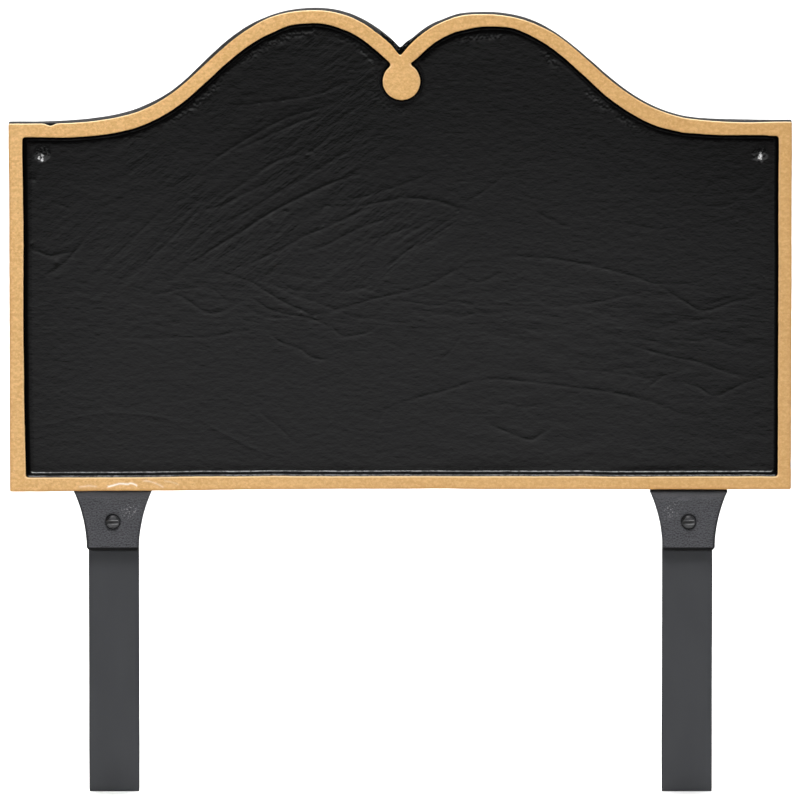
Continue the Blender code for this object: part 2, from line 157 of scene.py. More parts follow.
# How much of the wall's painted shading is kept beside the roundel, and how strong a face's painted light and
# shade must be for it to take the paint without reflection
ROUNDEL_TONE_SHARE = 0.35
RECESS_TONE = 0.25
# Reach of the black painted shade in the valley's web, and the depths over which it fades
WEB_DARKNESS_REACH = 9 * MM
VALLEY_SHADE_BAND = (7 * MM, 4 * MM)

# Where this casting's edges run beside the solid's, in the photograph's pixels: the place along the edge
# (its column, or its row for the sides) and how far the edge lies towards the plaque's middle
BACK_TOP_TRIM = [
    (30, 0.3), (100, -0.8), (150, 0.0), (174, 0.8), (222, -0.6), (270, 1.0), (330, 0.0), (366, 0.5),
    (392, 0.3), (402, 1.6), (414, 4.2), (438, 2.8), (462, 0.3), (560, 0.0), (600, -0.8), (678, 0.5),
    (714, -0.7), (774, 0.0),
]
FRONT_TOP_TRIM = [
    (30, 0.5), (102, 0.4), (150, 1.7), (174, 2.0), (246, 2.1), (270, 1.1), (342, 0.5), (366, -0.2),
    (390, -0.8), (402, 2.0), (414, 1.6), (438, 1.3), (462, 0.3), (486, 0.8), (534, 1.1), (558, 0.2),
    (606, 0.1), (678, 0.5), (702, -0.3), (750, 0.8), (774, 0.0),
]
RECESS_TOP_TRIM = [
    (30, 0.8), (78, 1.6), (150, 2.9), (174, 2.9), (198, 2.3), (222, 2.5), (258, 3.3), (270, 3.2),
    (294, 0.6), (318, 0.4), (342, 1.3), (366, 0.4), (386, 0.2), (402, -0.2), (412, 2.0), (418, 3.6),
    (438, 2.7), (462, 1.7), (486, -0.2), (510, -1.4), (534, 0.2), (582, 0.9), (606, 2.3), (654, 3.0),
    (678, 2.0), (702, 0.4), (760, 0.2), (774, 1.0),
]
FRONT_FOOT_TRIM = [
    (30, 0.4), (100, 0.9), (170, 0.7), (246, 1.4), (400, 1.2), (438, 1.5), (486, 0.8), (774, 0.7),
]
RECESS_FOOT_TRIM = [
    (30, -0.6), (130, -0.3), (165, 0.1), (200, 0.6), (225, 0.6), (280, 1.1), (310, 0.8), (370, 0.9),
    (400, 1.1), (500, 0.8), (580, 0.9), (612, 0.4), (670, 0.4), (710, 0.7), (774, 0.7),
]
LEFT_SIDE_TRIM = [(140, 0.5), (200, 1.0), (460, 0.9)]
RECESS_LEFT_TRIM = [(140, 1.1), (240, 2.0), (320, 1.6), (400, 2.3), (460, 3.4)]
TOP_TRIM_BAND = (150 * MM, 175 * MM)
SIDE_TRIM_BAND = (30 * MM, 12 * MM)

# Fineness of the plaque's mesh
ARCH_POINTS = 175
SIDE_POINTS = 120
BOTTOM_POINTS = 260
ROUNDEL_POINTS = 60
CORNER_POINTS = 6
DENSE_POINTS = 240
FIELD_SPACING = 1.45 * MM
BORDER_SPACING = 1.3 * MM
BACK_SPACING = 4.0 * MM
MARK_SPACING = 0.55 * MM
CLEARANCE_SHARE = 0.55
POINTS_AT_ONCE = 4000


# --- noise ---
HASH_SEED_FACTOR = 374761393
HASH_PRIMES = (668265263, 2246822519, 3266489917)
HASH_MASK = 0xFFFFFFFF


def hashed(cells, seed):
    """A number from -1 to 1 for each whole-numbered cell, the same on every run."""
    mixed = np.full(len(cells), seed * HASH_SEED_FACTOR, dtype=np.int64)
    for axis, prime in zip(cells.T, HASH_PRIMES):
        mixed = (mixed ^ (axis * prime)) & HASH_MASK
        mixed = (mixed ^ (mixed >> 15)) * HASH_PRIMES[1] & HASH_MASK
        mixed ^= mixed >> 13
    return (mixed & 0xFFFFFF) / 0x7FFFFF - 1.0


def lumps(points, size, seed):
    """Smooth noise from -1 to 1 over points of two or three coordinates, with lumps of about this size.

    Each seed gives a noise of its own.
    """
    scaled = np.asarray(points) / size
    cells = np.floor(scaled).astype(np.int64)
    part = scaled - cells
    part = part**2 * (3 - 2 * part)
    total = np.zeros(len(cells))
    for corner in itertools.product((0, 1), repeat=cells.shape[1]):
        weight = np.prod(np.where(corner, part, 1 - part), axis=1)
        total += weight * hashed(cells + np.array(corner), seed)
    return total


# --- places in the photograph ---
def seen_at(path, y):
    """The (x, z) places, at depth y, of points given in the photograph's pixels."""
    path = np.asarray(path, dtype=float)
    sine, cosine = math.sin(math.radians(CAMERA_ELEVATION)), math.cos(math.radians(CAMERA_ELEVATION))
    across = (path[:, 0] - PICTURE_PIXELS / 2) * PIXEL
    up = (PICTURE_PIXELS / 2 - path[:, 1]) * PIXEL
    reach = (y + CAMERA_DISTANCE * cosine) / (CAMERA_DISTANCE * cosine + up * sine)
    z = CAMERA_AIM_Z + CAMERA_DISTANCE * sine + reach * (up * cosine - CAMERA_DISTANCE * sine)
    return np.column_stack([reach * across, z])


def seen_spot(place, y):
    """The (x, z) place, at depth y, of one point given in the photograph's pixels."""
    return seen_at([place], y)[0]


# Creases of the field: how deep each is, and the line it follows in the photograph's pixels
FAINT = 0.06 * MM
CLEAR = 0.12 * MM
DEEP = 0.20 * MM
CREASE_HALF_WIDTH = 0.50 * MM
CREASES = {
    "long_diagonal": (DEEP * 1.6, [
        (175, 275), (193, 262), (213, 249), (243, 231), (262, 218), (293, 201), (337, 181), (368, 172),
    ]),
    "second_diagonal": (DEEP, [
        (228, 272), (253, 262), (280, 250), (303, 237), (332, 225), (360, 212), (388, 202),
    ]),
    "third_diagonal": (DEEP, [
        (118, 288), (140, 268), (160, 250), (177, 233), (198, 212), (220, 206), (250, 191), (280, 178),
    ]),
    "fourth_diagonal": (CLEAR, [
        (190, 240), (220, 224), (248, 211), (280, 191), (303, 178), (338, 158), (373, 139), (397, 120),
    ]),
    "bowed_diagonal": (DEEP, [
        (200, 214), (237, 188), (267, 167), (288, 157), (306, 154), (324, 142), (336, 126), (347, 112),
    ]),
    "upper_streak": (CLEAR, [(225, 108), (262, 103), (300, 98), (322, 93), (342, 84), (362, 78)]),
    "arch_streak": (DEEP, [
        (190, 180), (217, 158), (252, 136), (280, 121), (297, 114), (318, 109), (338, 101),
    ]),
    "arch_streak_low": (DEEP, [(232, 152), (253, 143), (270, 135), (290, 126), (305, 120), (327, 113)]),
    "side_streak_1": (CLEAR, [(88, 281), (110, 261), (128, 244), (147, 225), (158, 214), (168, 203)]),
    "side_streak_2": (CLEAR, [(124, 281), (143, 261), (158, 243), (170, 227), (193, 207), (203, 199)]),
    "side_streak_3": (CLEAR, [(150, 276), (170, 262), (190, 247), (205, 232), (230, 213), (250, 198)]),
    "left_scar": (DEEP * 1.4, [(44, 275), (52, 272), (60, 266), (70, 257), (86, 239)]),
    "left_tear": (DEEP * 1.3, [(28, 250), (38, 252), (50, 256), (62, 254), (76, 251)]),
    "left_tick": (CLEAR, [(50, 202), (58, 204), (65, 207), (72, 209)]),
    "left_level": (CLEAR, [(120, 335), (147, 339), (178, 338), (208, 337), (238, 332), (267, 329)]),
    "lower_wave": (-CLEAR, [(28, 427), (50, 424), (83, 416), (112, 413), (143, 415), (167, 419), (190, 430)]),
    "lower_swell": (-CLEAR, [(196, 418), (212, 427), (238, 441), (262, 452), (292, 460)]),
    "lower_groove": (CLEAR, [(255, 405), (263, 415), (280, 428), (294, 443)]),
    "lower_groove_2": (FAINT, [(270, 398), (285, 408), (302, 418), (320, 427)]),
    "knot_arc": (DEEP, [(172, 293), (187, 300), (203, 311), (217, 313), (237, 305)]),
    "knot_arc_upper": (CLEAR, [(150, 297), (172, 291), (185, 289), (210, 288), (225, 299), (236, 303)]),
    "knot_level": (CLEAR, [(206, 272), (230, 275), (250, 282), (262, 290), (280, 300)]),
    "knot_1": (DEEP, [(246, 277), (260, 287), (280, 300), (303, 311), (312, 315), (323, 313)]),
    "knot_2": (CLEAR, [(252, 271), (275, 278), (285, 285), (293, 290), (303, 293)]),
    "knot_3": (DEEP, [(248, 295), (267, 308), (285, 314), (305, 317), (318, 321), (333, 329)]),
    "knot_4": (CLEAR, [(270, 283), (293, 295), (312, 301), (325, 306), (338, 310), (352, 305)]),
    "knot_5": (CLEAR, [(264, 270), (280, 274), (300, 277), (318, 280), (335, 277)]),
    "knot_6": (CLEAR, [(243, 305), (262, 316), (280, 318), (298, 317)]),
    "knot_7": (CLEAR, [(325, 290), (347, 291), (360, 288), (375, 292), (390, 296)]),
    "hook": (DEEP, [(321, 215), (323, 208), (327, 206), (333, 208)]),
    "hook_tail": (CLEAR, [(302, 218), (296, 228), (285, 235)]),
    "crown_arc": (DEEP, [(345, 211), (367, 205), (393, 200), (407, 198), (435, 201), (456, 207), (470, 210)]),
    "crown_upper": (CLEAR, [(340, 202), (367, 196), (393, 188), (417, 179), (445, 168)]),
    "crown_lower": (DEEP, [(298, 252), (322, 247), (340, 238), (360, 228), (380, 221), (400, 214)]),
    "crown_under": (CLEAR, [(335, 252), (360, 242), (380, 237), (403, 230), (420, 222), (445, 208)]),
    "right_rise": (CLEAR, [(462, 203), (477, 196), (490, 187), (504, 176)]),
    "fan_base": (CLEAR, [(353, 292), (377, 282), (393, 267), (420, 248), (442, 235), (472, 213)]),
    "fan_middle": (DEEP, [(377, 280), (393, 263), (413, 247), (437, 228), (463, 212)]),
    "centre_line": (DEEP, [
        (333, 310), (353, 305), (377, 298), (403, 293), (428, 285), (452, 272), (472, 262),
    ]),
    "centre_rise": (CLEAR, [(462, 287), (470, 282), (482, 282), (502, 272)]),
    "centre_level_1": (CLEAR, [(383, 300), (410, 302), (437, 306), (455, 301), (470, 305), (500, 305)]),
    "centre_level_2": (CLEAR, [(343, 313), (360, 318), (383, 320), (397, 322), (420, 322)]),
    "centre_level_3": (CLEAR, [(403, 308), (433, 312), (460, 317), (477, 313), (500, 315)]),
    "step": (DEEP * 1.2, [(268, 333), (282, 343), (300, 349), (313, 358), (331, 360)]),
    "bowl": (DEEP, [(328, 323), (333, 328), (340, 335), (350, 336), (367, 333), (378, 327)]),
    "thumb": (FAINT, [(382, 342), (395, 344), (402, 350), (410, 348), (420, 346)]),
    "thumb_low": (FAINT, [(372, 358), (387, 357), (403, 351), (416, 348)]),
    "curl": (CLEAR, [(461, 336), (455, 345), (447, 355), (436, 363)]),
    "long_level": (DEEP, [
        (498, 257), (520, 257), (552, 259), (593, 266), (635, 277), (652, 283), (680, 284), (700, 282),
    ]),
    "lower_level": (CLEAR, [
        (500, 305), (520, 306), (550, 307), (583, 305), (602, 301), (637, 294), (652, 291),
    ]),
    "right_peak": (DEEP, [
        (652, 291), (659, 287), (666, 290), (685, 302), (705, 311), (733, 302), (765, 296),
    ]),
    "right_peak_upper": (CLEAR, [(690, 303), (707, 304), (720, 301), (745, 293)]),
    "long_lower": (DEEP, [
        (381, 410), (410, 400), (447, 390), (480, 380), (520, 381), (570, 387), (613, 393), (652, 402),
        (681, 414),
    ]),
    "long_lower_tail": (CLEAR, [(395, 405), (385, 411), (380, 420), (377, 432)]),
    "long_lower_foot": (FAINT, [(378, 434), (393, 431), (403, 433), (422, 437)]),
    "plumb_line": (FAINT, [(417, 318), (411, 334), (402, 353), (397, 375), (392, 402)]),
    "right_long_1": (DEEP, [(625, 344), (653, 352), (673, 357), (697, 362), (720, 370), (745, 378)]),
    "right_long_2": (CLEAR, [(652, 341), (680, 340), (697, 341), (710, 339), (735, 347), (757, 351)]),
    "right_long_3": (CLEAR, [(628, 342), (640, 339), (655, 342), (670, 346), (690, 347)]),
    "right_wave_1": (CLEAR, [(643, 330), (660, 328), (672, 326), (688, 325)]),
    "right_wave_2": (CLEAR, [(676, 320), (692, 322), (708, 319), (718, 322)]),
    "right_valley": (DEEP, [(684, 382), (700, 388), (708, 394), (720, 395), (742, 384), (766, 377)]),
    "right_fork": (CLEAR, [(643, 392), (658, 380), (667, 375), (684, 371)]),
    "right_mesh_1": (CLEAR, [(520, 372), (548, 373), (575, 369), (598, 372), (627, 368), (653, 368)]),
    "right_mesh_2": (CLEAR, [(600, 371), (620, 374), (647, 379), (660, 385)]),
    "right_mesh_3": (FAINT, [(520, 352), (537, 351), (545, 345), (556, 341)]),
    "right_mesh_4": (FAINT, [(552, 358), (563, 353), (569, 359), (571, 366)]),
    "right_mesh_5": (FAINT, [(610, 354), (613, 346), (620, 341)]),
    "lower_notch": (DEEP, [(488, 424), (510, 433), (530, 440), (540, 435), (553, 427)]),
    "lower_hump": (CLEAR, [(487, 409), (495, 405), (508, 404), (522, 407), (540, 406)]),
    "lower_right": (FAINT, [(598, 417), (613, 419), (642, 420)]),
    "upper_right_level": (FAINT, [(560, 192), (600, 193), (633, 193), (678, 193), (700, 196)]),
    "upper_right_dip": (CLEAR, [(617, 220), (643, 227), (658, 229), (676, 228)]),
    "upper_right_fold": (FAINT, [(598, 182), (607, 177), (613, 168), (620, 172)]),
    "upper_right_rise": (FAINT, [(615, 188), (627, 180), (637, 173), (647, 166)]),
    "upper_right_fall": (FAINT, [(535, 151), (555, 168), (573, 180), (585, 183)]),
    "upper_right_bend": (CLEAR, [(535, 210), (545, 217), (563, 225), (575, 228)]),
    "corner_bend": (CLEAR, [(700, 206), (717, 207), (728, 206), (736, 201), (739, 195)]),
    "corner_rise": (CLEAR, [(738, 192), (750, 194), (758, 190), (770, 180)]),
    "corner_slope": (FAINT, [(700, 229), (715, 222), (743, 218), (757, 215)]),
    "right_slope": (FAINT, [(672, 246), (687, 240), (702, 236)]),
    "right_bend": (FAINT, [(643, 253), (653, 257), (675, 265), (686, 267)]),
    "right_fall": (FAINT, [(487, 219), (500, 225), (512, 232)]),
}

# Sheaves of streaks: each fills the space between its first and last line with this many more
Sheaf = namedtuple("Sheaf", "depth count first last")
SHEAVES = [
    Sheaf(
        CLEAR, 7, [(355, 262), (372, 243), (400, 222), (432, 208)],
        [(392, 275), (412, 255), (440, 238), (470, 216)],
    ),
    Sheaf(FAINT, 9, [(60, 262), (110, 225), (165, 185)], [(170, 290), (225, 250), (300, 215)]),
    Sheaf(FAINT, 7, [(262, 162), (300, 146), (345, 121)], [(330, 200), (380, 180), (430, 150)]),
    Sheaf(FAINT, 6, [(262, 238), (320, 215), (380, 196)], [(285, 285), (330, 262), (375, 240)]),
    Sheaf(FAINT, 6, [(250, 268), (285, 282), (330, 296)], [(225, 300), (270, 320), (320, 330)]),
    Sheaf(FAINT, 6, [(380, 292), (440, 293), (500, 290)], [(365, 328), (430, 322), (505, 322)]),
    Sheaf(FAINT, 5, [(625, 322), (670, 318), (715, 322)], [(620, 372), (680, 378), (750, 385)]),
    Sheaf(FAINT, 5, [(205, 95), (250, 88), (300, 76)], [(225, 142), (265, 122), (310, 102)]),
]
SHEAF_WANDER_PIXELS = 5.0
SHEAF_PLACES = (0.2, 0.8)
SHEAF_CUT = 0.35
SHEAF_DEPTHS = (0.6, 1.5)
SHEAF_STEP = 0.6 * MM
CREASE_STEP = 1.2 * MM

Spot = namedtuple("Spot", "height radius place")


def spots(*rows):
    """Spots from rows that give height and radius in millimetres."""
    return [Spot(height * MM, radius * MM, place) for height, radius, place in rows]


# Small lumps and hollows of the cast surfaces: height, radius and place in the photograph's pixels
FIELD_SPOTS = spots(
    (-0.40, 1.1, (34, 180)), (0.25, 0.7, (32, 243)), (0.35, 1.2, (56, 262)), (0.30, 1.3, (271, 221)),
    (-0.25, 0.6, (285, 211)), (0.25, 0.9, (307, 155)), (-0.25, 0.7, (313, 152)), (0.22, 0.8, (315, 318)),
    (0.22, 0.8, (301, 313)), (0.15, 0.6, (323, 227)), (-0.15, 0.5, (283, 101)), (-0.15, 0.5, (324, 93)),
    (-0.18, 0.6, (259, 103)), (0.14, 0.6, (91, 367)), (0.12, 0.5, (237, 351)), (0.12, 0.5, (331, 423)),
    (-0.18, 0.7, (458, 211)), (0.12, 0.6, (617, 284)), (0.12, 0.5, (659, 364)), (0.12, 0.5, (675, 377)),
    (-0.15, 0.6, (709, 186)), (0.12, 0.5, (737, 222)), (0.14, 0.5, (764, 277)), (0.12, 0.5, (681, 439)),
)
BORDER_SPOTS = spots(
    (0.22, 0.7, (308, 17)), (0.16, 0.6, (357, 28)), (0.20, 1.1, (380, 37)), (0.20, 0.5, (441.5, 35.5)),
    (0.18, 0.6, (608, 86)), (0.12, 0.6, (716, 128)), (-0.12, 0.6, (14, 193)), (-0.12, 0.7, (13, 131)),
)
BORDER_BURRS = {
    "foot_burr": (-0.42 * MM, [
        (108.5, 485.5), (113, 484.7), (119.5, 483.3), (123, 483.5), (128.5, 483.6), (131, 482.8),
        (136, 484.4),
    ]),
    "foot_burr_left": (-0.12 * MM, [(80, 485.8), (88, 485.1), (96, 485.4)]),
    "foot_burr_right": (-0.13 * MM, [(144, 481), (150, 481.3), (157, 483.5), (163, 486)]),
    "foot_burr_end": (-0.08 * MM, [(165, 481), (172, 482), (178, 484)]),
}
Nick = namedtuple("Nick", "place radius push")
NICKS = {
    "shoulder_nick": Nick((50.5, 123), 2.3 * MM, (0.0, -1.3 * MM)),
    "side_nick": Nick((790, 465), 1.2 * MM, (-0.6 * MM, 0.0)),
}
NICK_DEPTH_BAND = (2.6 * MM, 1.2 * MM)
NICK_SHADE_RADIUS = 1.9 * MM
NICK_SHADE_BAND = (3.0 * MM, 1.5 * MM)
DIMPLES = {"left": (42, 153.5), "right": (760, 153.5)}
DIMPLE_RADIUS = 4.6 * MM
DIMPLE_DEPTH = 2.4 * MM
DIMPLE_ROUGHNESS = 0.75 * MM
DIMPLE_SPACING = 0.30 * MM
DIMPLE_MARGIN = 1.1
# Painted glints on bare metal in the dimples: place and radius of each
DIMPLE_GLINTS = {
    "left_upper": ((42.2, 155.8), 0.65 * MM),
    "left_side": ((39.2, 158.4), 0.75 * MM),
    "left_lower": ((42.0, 159.8), 0.85 * MM),
    "right_upper": ((761.0, 156.0), 0.85 * MM),
    "right_lower": ((760.0, 158.0), 0.95 * MM),
    "right_tip": ((760.3, 153.5), 0.45 * MM),
}

# Relief of the cast skin. Streaks and waves: turn in degrees, length, width and strength of each layer
FIELD_SWELL = 0.16 * MM
FIELD_SWELL_SIZE = 45 * MM
FIELD_RIPPLE = 0.045 * MM
FIELD_STREAKS = ((33, 16.0 * MM, 2.6 * MM, 1.0), (42, 12.0 * MM, 3.4 * MM, 0.7))
FIELD_WAVES = ((-4, 13.0 * MM, 3.6 * MM, 1.0), (12, 9.0 * MM, 4.2 * MM, 0.7))
CALM_WAVES = 0.35
FIELD_GRAIN = 0.4

# Where the field's busy parts fade in: across, and upwards from the plaque's foot
STREAKED_PART = ((60 * MM, -40 * MM), (60 * MM, 100 * MM))
WAVY_PART = ((-20 * MM, 60 * MM), (130 * MM, 90 * MM))

# Relief of the casting's pits, edges and faces
PIT_DEPTH = 0.75 * MM
PIT_SIZE = 1.1 * MM
PIT_BAND = (1.2 * MM, 5.5 * MM)
EDGE_WANDER = 0.06 * MM
EDGE_WANDER_SIZE = 14 * MM
EDGE_RIPPLE = 0.05 * MM
EDGE_RIPPLE_SIZE = 3.5 * MM
BORDER_RELIEF = 0.035 * MM
BURR_HALF_WIDTH = 0.5 * MM
BURR_STEP = 0.8 * MM
# Rubbed burrs under a painted highlight: the depth at which they are palest, and how wide the paleness is
BURR_FULL_WEAR = 0.38 * MM
BURR_WEAR_WIDTH = 0.30 * MM
WALL_RELIEF = 0.10 * MM
WALL_RELIEF_SIZE = 2.6 * MM
WEB_RELIEF = 1.7 * MM
WEB_RELIEF_SIZE = 1.6 * MM
WEB_REACH = 6 * MM
BACK_RELIEF = 0.10 * MM

# The field's lowest strip, where the paint looks darker
FOOT_SHADE_HEIGHT = 15.0 * MM

# How far aside of its solid each of these stands
ASIDE = {"stake_left": 0.47 * MM, "stake_right": 0.12 * MM, "bracket_right": 0.75 * MM}

# Brackets, stakes and screws
STAKE_FILLING = 0.42 * MM
STAKE_LOW, STAKE_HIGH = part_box("stake_right")
STAND_X = (STAKE_LOW.x + STAKE_HIGH.x) / 2
STAKE_HALF_WIDTH = (STAKE_HIGH.x - STAKE_LOW.x) / 2
BRACKET_VOXEL = 0.55 * MM
BRACKET_SOFTENING = 4
BRACKET_SKIN = 0.08 * MM
PAD_MIDDLE_Y = -5.2 * MM
PAD_BLEND = 1.5 * MM
PAD_SIDE_STEP = 0.5 * MM
PAD_FILLING = 0.35 * MM
PAD_FOOT_DROP = 0.6 * MM
PAD_FOOT_ROUNDING = 2.2 * MM
SCREW_RING_RADIUS = 3.62 * MM
SCREW_RING_WIDTH = 0.45 * MM
SCREW_RING_DEPTH = 0.5 * MM
# Width of the painted shade along a pad's sides
PAD_LEE_WIDTH = 1.5 * MM
PAD_FOOT_TAPER = 0.9 * MM
PAD_FOOT_REACH = 13.0 * MM
SCRATCH_OFFSET = 9.0 * MM
SCRATCH_RISE = 6.0 * MM
SCRATCH_REACH = 4.0 * MM
STAKE_WAVE = 0.04 * MM
STAKE_ROUNDING = 0.5 * MM
STAKE_LEVELS = 60
STAKE_END_INSET = 0.25 * MM
BAR_CORNER_POINTS = 6
BAR_FACE_POINTS = 10
SCREW_HEAD_RADIUS = 3.42 * MM
SCREW_SEAT_DEPTH = 2.8 * MM
SCREW_HEAD_HEIGHT = 1.9 * MM
SCREW_HEAD_EDGE = 0.7 * MM
SCREW_SHANK_RADIUS = 2.1 * MM
SCREW_SLOT_WIDTH = 1.6 * MM
SCREW_SLOT_DEPTH = 1.0 * MM
SCREW_DOME_STEPS = 12
SCREW_SIDES = 64
SCREW_EDGE_WIDTH = 0.10 * MM
SCREW_EDGE_ANGLE = 40.0
SCREW_WEAR_WIDTH = 0.25 * MM

# Stage
FLOOR_RADIUS = 12.0
FLOOR_Z = -0.02 * MM
FLOOR_ALBEDO = 0.80
WORLD_STRENGTH = 0.20
SIDE_STRENGTH = 0.04
SIDE_FADE = (0.30, 0.80)
OVERHEAD_PLACE = (0.0, 1.9, 3.0)
OVERHEAD_SIZE = 4.2
OVERHEAD_SPREAD = 180.0
OVERHEAD_WATTS = 260.0
KEY_PLACE = (-0.2, -1.05, 2.0)
KEY_AIM = (0.0, 0.0, 0.25)
KEY_SIZE = 1.0
KEY_SPREAD = 45.0
KEY_WATTS = 3.4


# --- curves in the plaque's plane, as arrays of (x, z) ---
def bezier(controls, count):
    """Points of the curve that a list of control points gives, from the first to the last."""
    t = np.linspace(0, 1, count)[:, None]
    degree = len(controls) - 1
    return sum(math.comb(degree, k) * t**k * (1 - t) ** (degree - k) * p for k, p in enumerate(controls))


def smooth_run(start, start_heading, end, end_heading):
    """A curve that leaves start and reaches end along the given headings."""
    pull = CURVE_FULLNESS * np.linalg.norm(end - start)
    return bezier([start, start + pull * start_heading, end - pull * end_heading, end], DENSE_POINTS)


def arch_curve(arch, valley_height):
    """The top edge over one arch, from beyond the shoulder's end to the valley."""
    flank_angle, valley_angle = math.radians(arch.flank_slope), math.radians(arch.valley_slope)
    shoulder_height = SHOULDER_HEIGHT + arch.shoulder_rise
    rise = np.array([HALF_WIDTH - arch.shoulder_run, shoulder_height])
    flank = np.array([arch.flank_x, SHOULDER_HEIGHT + arch.flank_rise])
    crest = np.array([arch.crest_x, SHOULDER_HEIGHT + arch.crest_rise])
    valley = np.array([0.0, valley_height])
    inward = np.array([-1.0, 0.0])
    up_the_flank = np.array([-math.cos(flank_angle), math.sin(flank_angle)])
    down_to_valley = np.array([-math.sin(valley_angle), -math.cos(valley_angle)])
    points = [
        [(HALF_WIDTH + 2 * MM, shoulder_height)],
        smooth_run(rise, inward, flank, up_the_flank),
        smooth_run(flank, up_the_flank, crest, inward)[1:],
        smooth_run(crest, inward, valley, down_to_valley)[1:],
    ]
    return np.concatenate(points) * (arch.side, 1)


def headings(points):
    """The unit direction of travel at each point of a curve."""
    step = np.gradient(points, axis=0)
    return step / np.linalg.norm(step, axis=1)[:, None]


def right_of(heading):
    """The directions a quarter turn to the right of some headings."""
    return np.column_stack([heading[:, 1], -heading[:, 0]])


def offset_right(points, distance):
    """An open curve moved sideways, to the right of its direction of travel."""
    return points + distance * right_of(headings(points))


def inward_of(loop):
    """The unit direction into the plaque at each point of a closed line about it."""
    return right_of(headings(np.vstack([loop[-1], loop, loop[0]]))[1:-1])


def on_circle(centre, radius, angles):
    return centre + radius * np.column_stack([np.cos(angles), np.sin(angles)])


def straight_on(before, end, distance):
    """The point this far beyond a curve's end."""
    return end + (end - before) * distance / np.linalg.norm(end - before)


def along(points, start, stop, count):
    """Evenly spaced points of a curve, leaving out given lengths at its two ends."""
    steps = np.linalg.norm(np.diff(points, axis=0), axis=1)
    length = np.concatenate([[0.0], np.cumsum(steps)])
    wanted = np.linspace(start, length[-1] - stop, count)
    return np.column_stack([np.interp(wanted, length, points[:, 0]), np.interp(wanted, length, points[:, 1])])


def trim_at(places, table):
    """The trims of a table, in metres, at some pixel columns or rows, smooth from one to the next."""
    columns, trims = np.array(table).T
    index = np.clip(np.searchsorted(columns, places) - 1, 0, len(columns) - 2)
    share = np.clip((places - columns[index]) / (columns[index + 1] - columns[index]), 0, 1)
    share = share**2 * (3 - 2 * share)
    return PIXEL * (trims[index] * (1 - share) + trims[index + 1] * share)


def trimmed(loop, top, foot, left, free=1.0):
    """A closed line of the plaque moved, where it is free to, by the trims of its top, foot and left side."""
    x, z = loop.T
    column = x / PIXEL + PICTURE_PIXELS / 2
    row = (LOWEST_ROW_Z - z) / PIXEL + PICTURE_PIXELS
    low, high = TOP_TRIM_BAND
    far, near = SIDE_TRIM_BAND
    at_top = step_between(FOOT_Z + low, FOOT_Z + high, z)
    at_foot = step_between(FOOT_Z + far, FOOT_Z + near, z)
    at_left = step_between(-HALF_WIDTH + far, -HALF_WIDTH + near, x)
    moved = loop.copy()
    moved[:, 0] += at_left * left(row)
    moved[:, 1] += at_foot * foot(column) - at_top * free * top(column)
    return moved


def meeting(first, second):
    """Two curves cut where the first one meets the second: (the first up to there, the second from there)."""
    a, da = first[:-1, None], np.diff(first, axis=0)[:, None]
    b, db = second[None, :-1], np.diff(second, axis=0)[None]
    gap = b - a
    cross = da[..., 0] * db[..., 1] - da[..., 1] * db[..., 0]
    cross = np.where(cross == 0, np.inf, cross)
    s = (gap[..., 0] * db[..., 1] - gap[..., 1] * db[..., 0]) / cross
    t = (gap[..., 0] * da[..., 1] - gap[..., 1] * da[..., 0]) / cross
    i, j = np.argwhere((s >= 0) & (s <= 1) & (t >= 0) & (t <= 1))[0]
    point = first[i] + s[i, j] * (first[i + 1] - first[i])
    return np.vstack([first[: i + 1], point]), np.vstack([point, second[j + 1 :]])


def closed_loop(runs):
    """One closed line from runs of (curve, number of points, length that the corner after it takes)."""
    pieces = []
    for i, (run, count, cut) in enumerate(runs):
        cut_before = runs[i - 1][2]
        following = runs[(i + 1) % len(runs)][0]
        start = along(run, 0, cut, 2)[-1]
        end = along(following, cut, 0, 2)[0]
        pieces.append(along(run, cut_before, cut, count))
        pieces.append(bezier([start, run[-1], end], CORNER_POINTS + 2)[1:-1])
    return np.concatenate(pieces) + (0.0, FOOT_Z)


def arches_inside(inset, valley_height, extra):
    """The two arches' edges moved inwards, each run straight on by some length past the valley."""
    left = offset_right(arch_curve(LEFT_ARCH, valley_height), inset)
    right = offset_right(arch_curve(RIGHT_ARCH, valley_height)[::-1], inset)
    left = np.vstack([left, straight_on(left[-2], left[-1], extra)])
    right = np.vstack([straight_on(right[1], right[0], extra), right])
    return left, right


def loop_about(inset, top, crown, crown_corner, corner):
    """A closed line about the plaque: its sides and bottom this far in, and the crown between its sides.

    The crown lists its curves, from left to right, each with its number of points. One length is cut off
    at the corners between its curves, and another at the rest.
    """
    half = HALF_WIDTH - inset
    curves, counts = zip(*crown)
    curves = [np.array([(-half, inset), (-half, top)]), *curves, np.array([(half, top), (half, inset)])]
    for i in range(len(curves) - 1):
        curves[i : i + 2] = meeting(*curves[i : i + 2])
    curves.append(np.array([curves[-1][-1], curves[0][0]]))
    counts = [SIDE_POINTS, *counts, SIDE_POINTS, BOTTOM_POINTS]
    corners = [corner, *[crown_corner] * (len(crown) - 1), corner, corner, corner]
    return closed_loop(list(zip(curves, counts, corners)))


def outer_loop(inset, valley_height):
    """The plaque's outer edge, this far inside the solid's own."""
    left, right = arches_inside(inset, valley_height, inset * 2 + 0.2 * MM)
    crown = [(left, ARCH_POINTS), (right, ARCH_POINTS)]
    return loop_about(inset, valley_height, crown, VALLEY_CORNER, OUTER_CORNER)


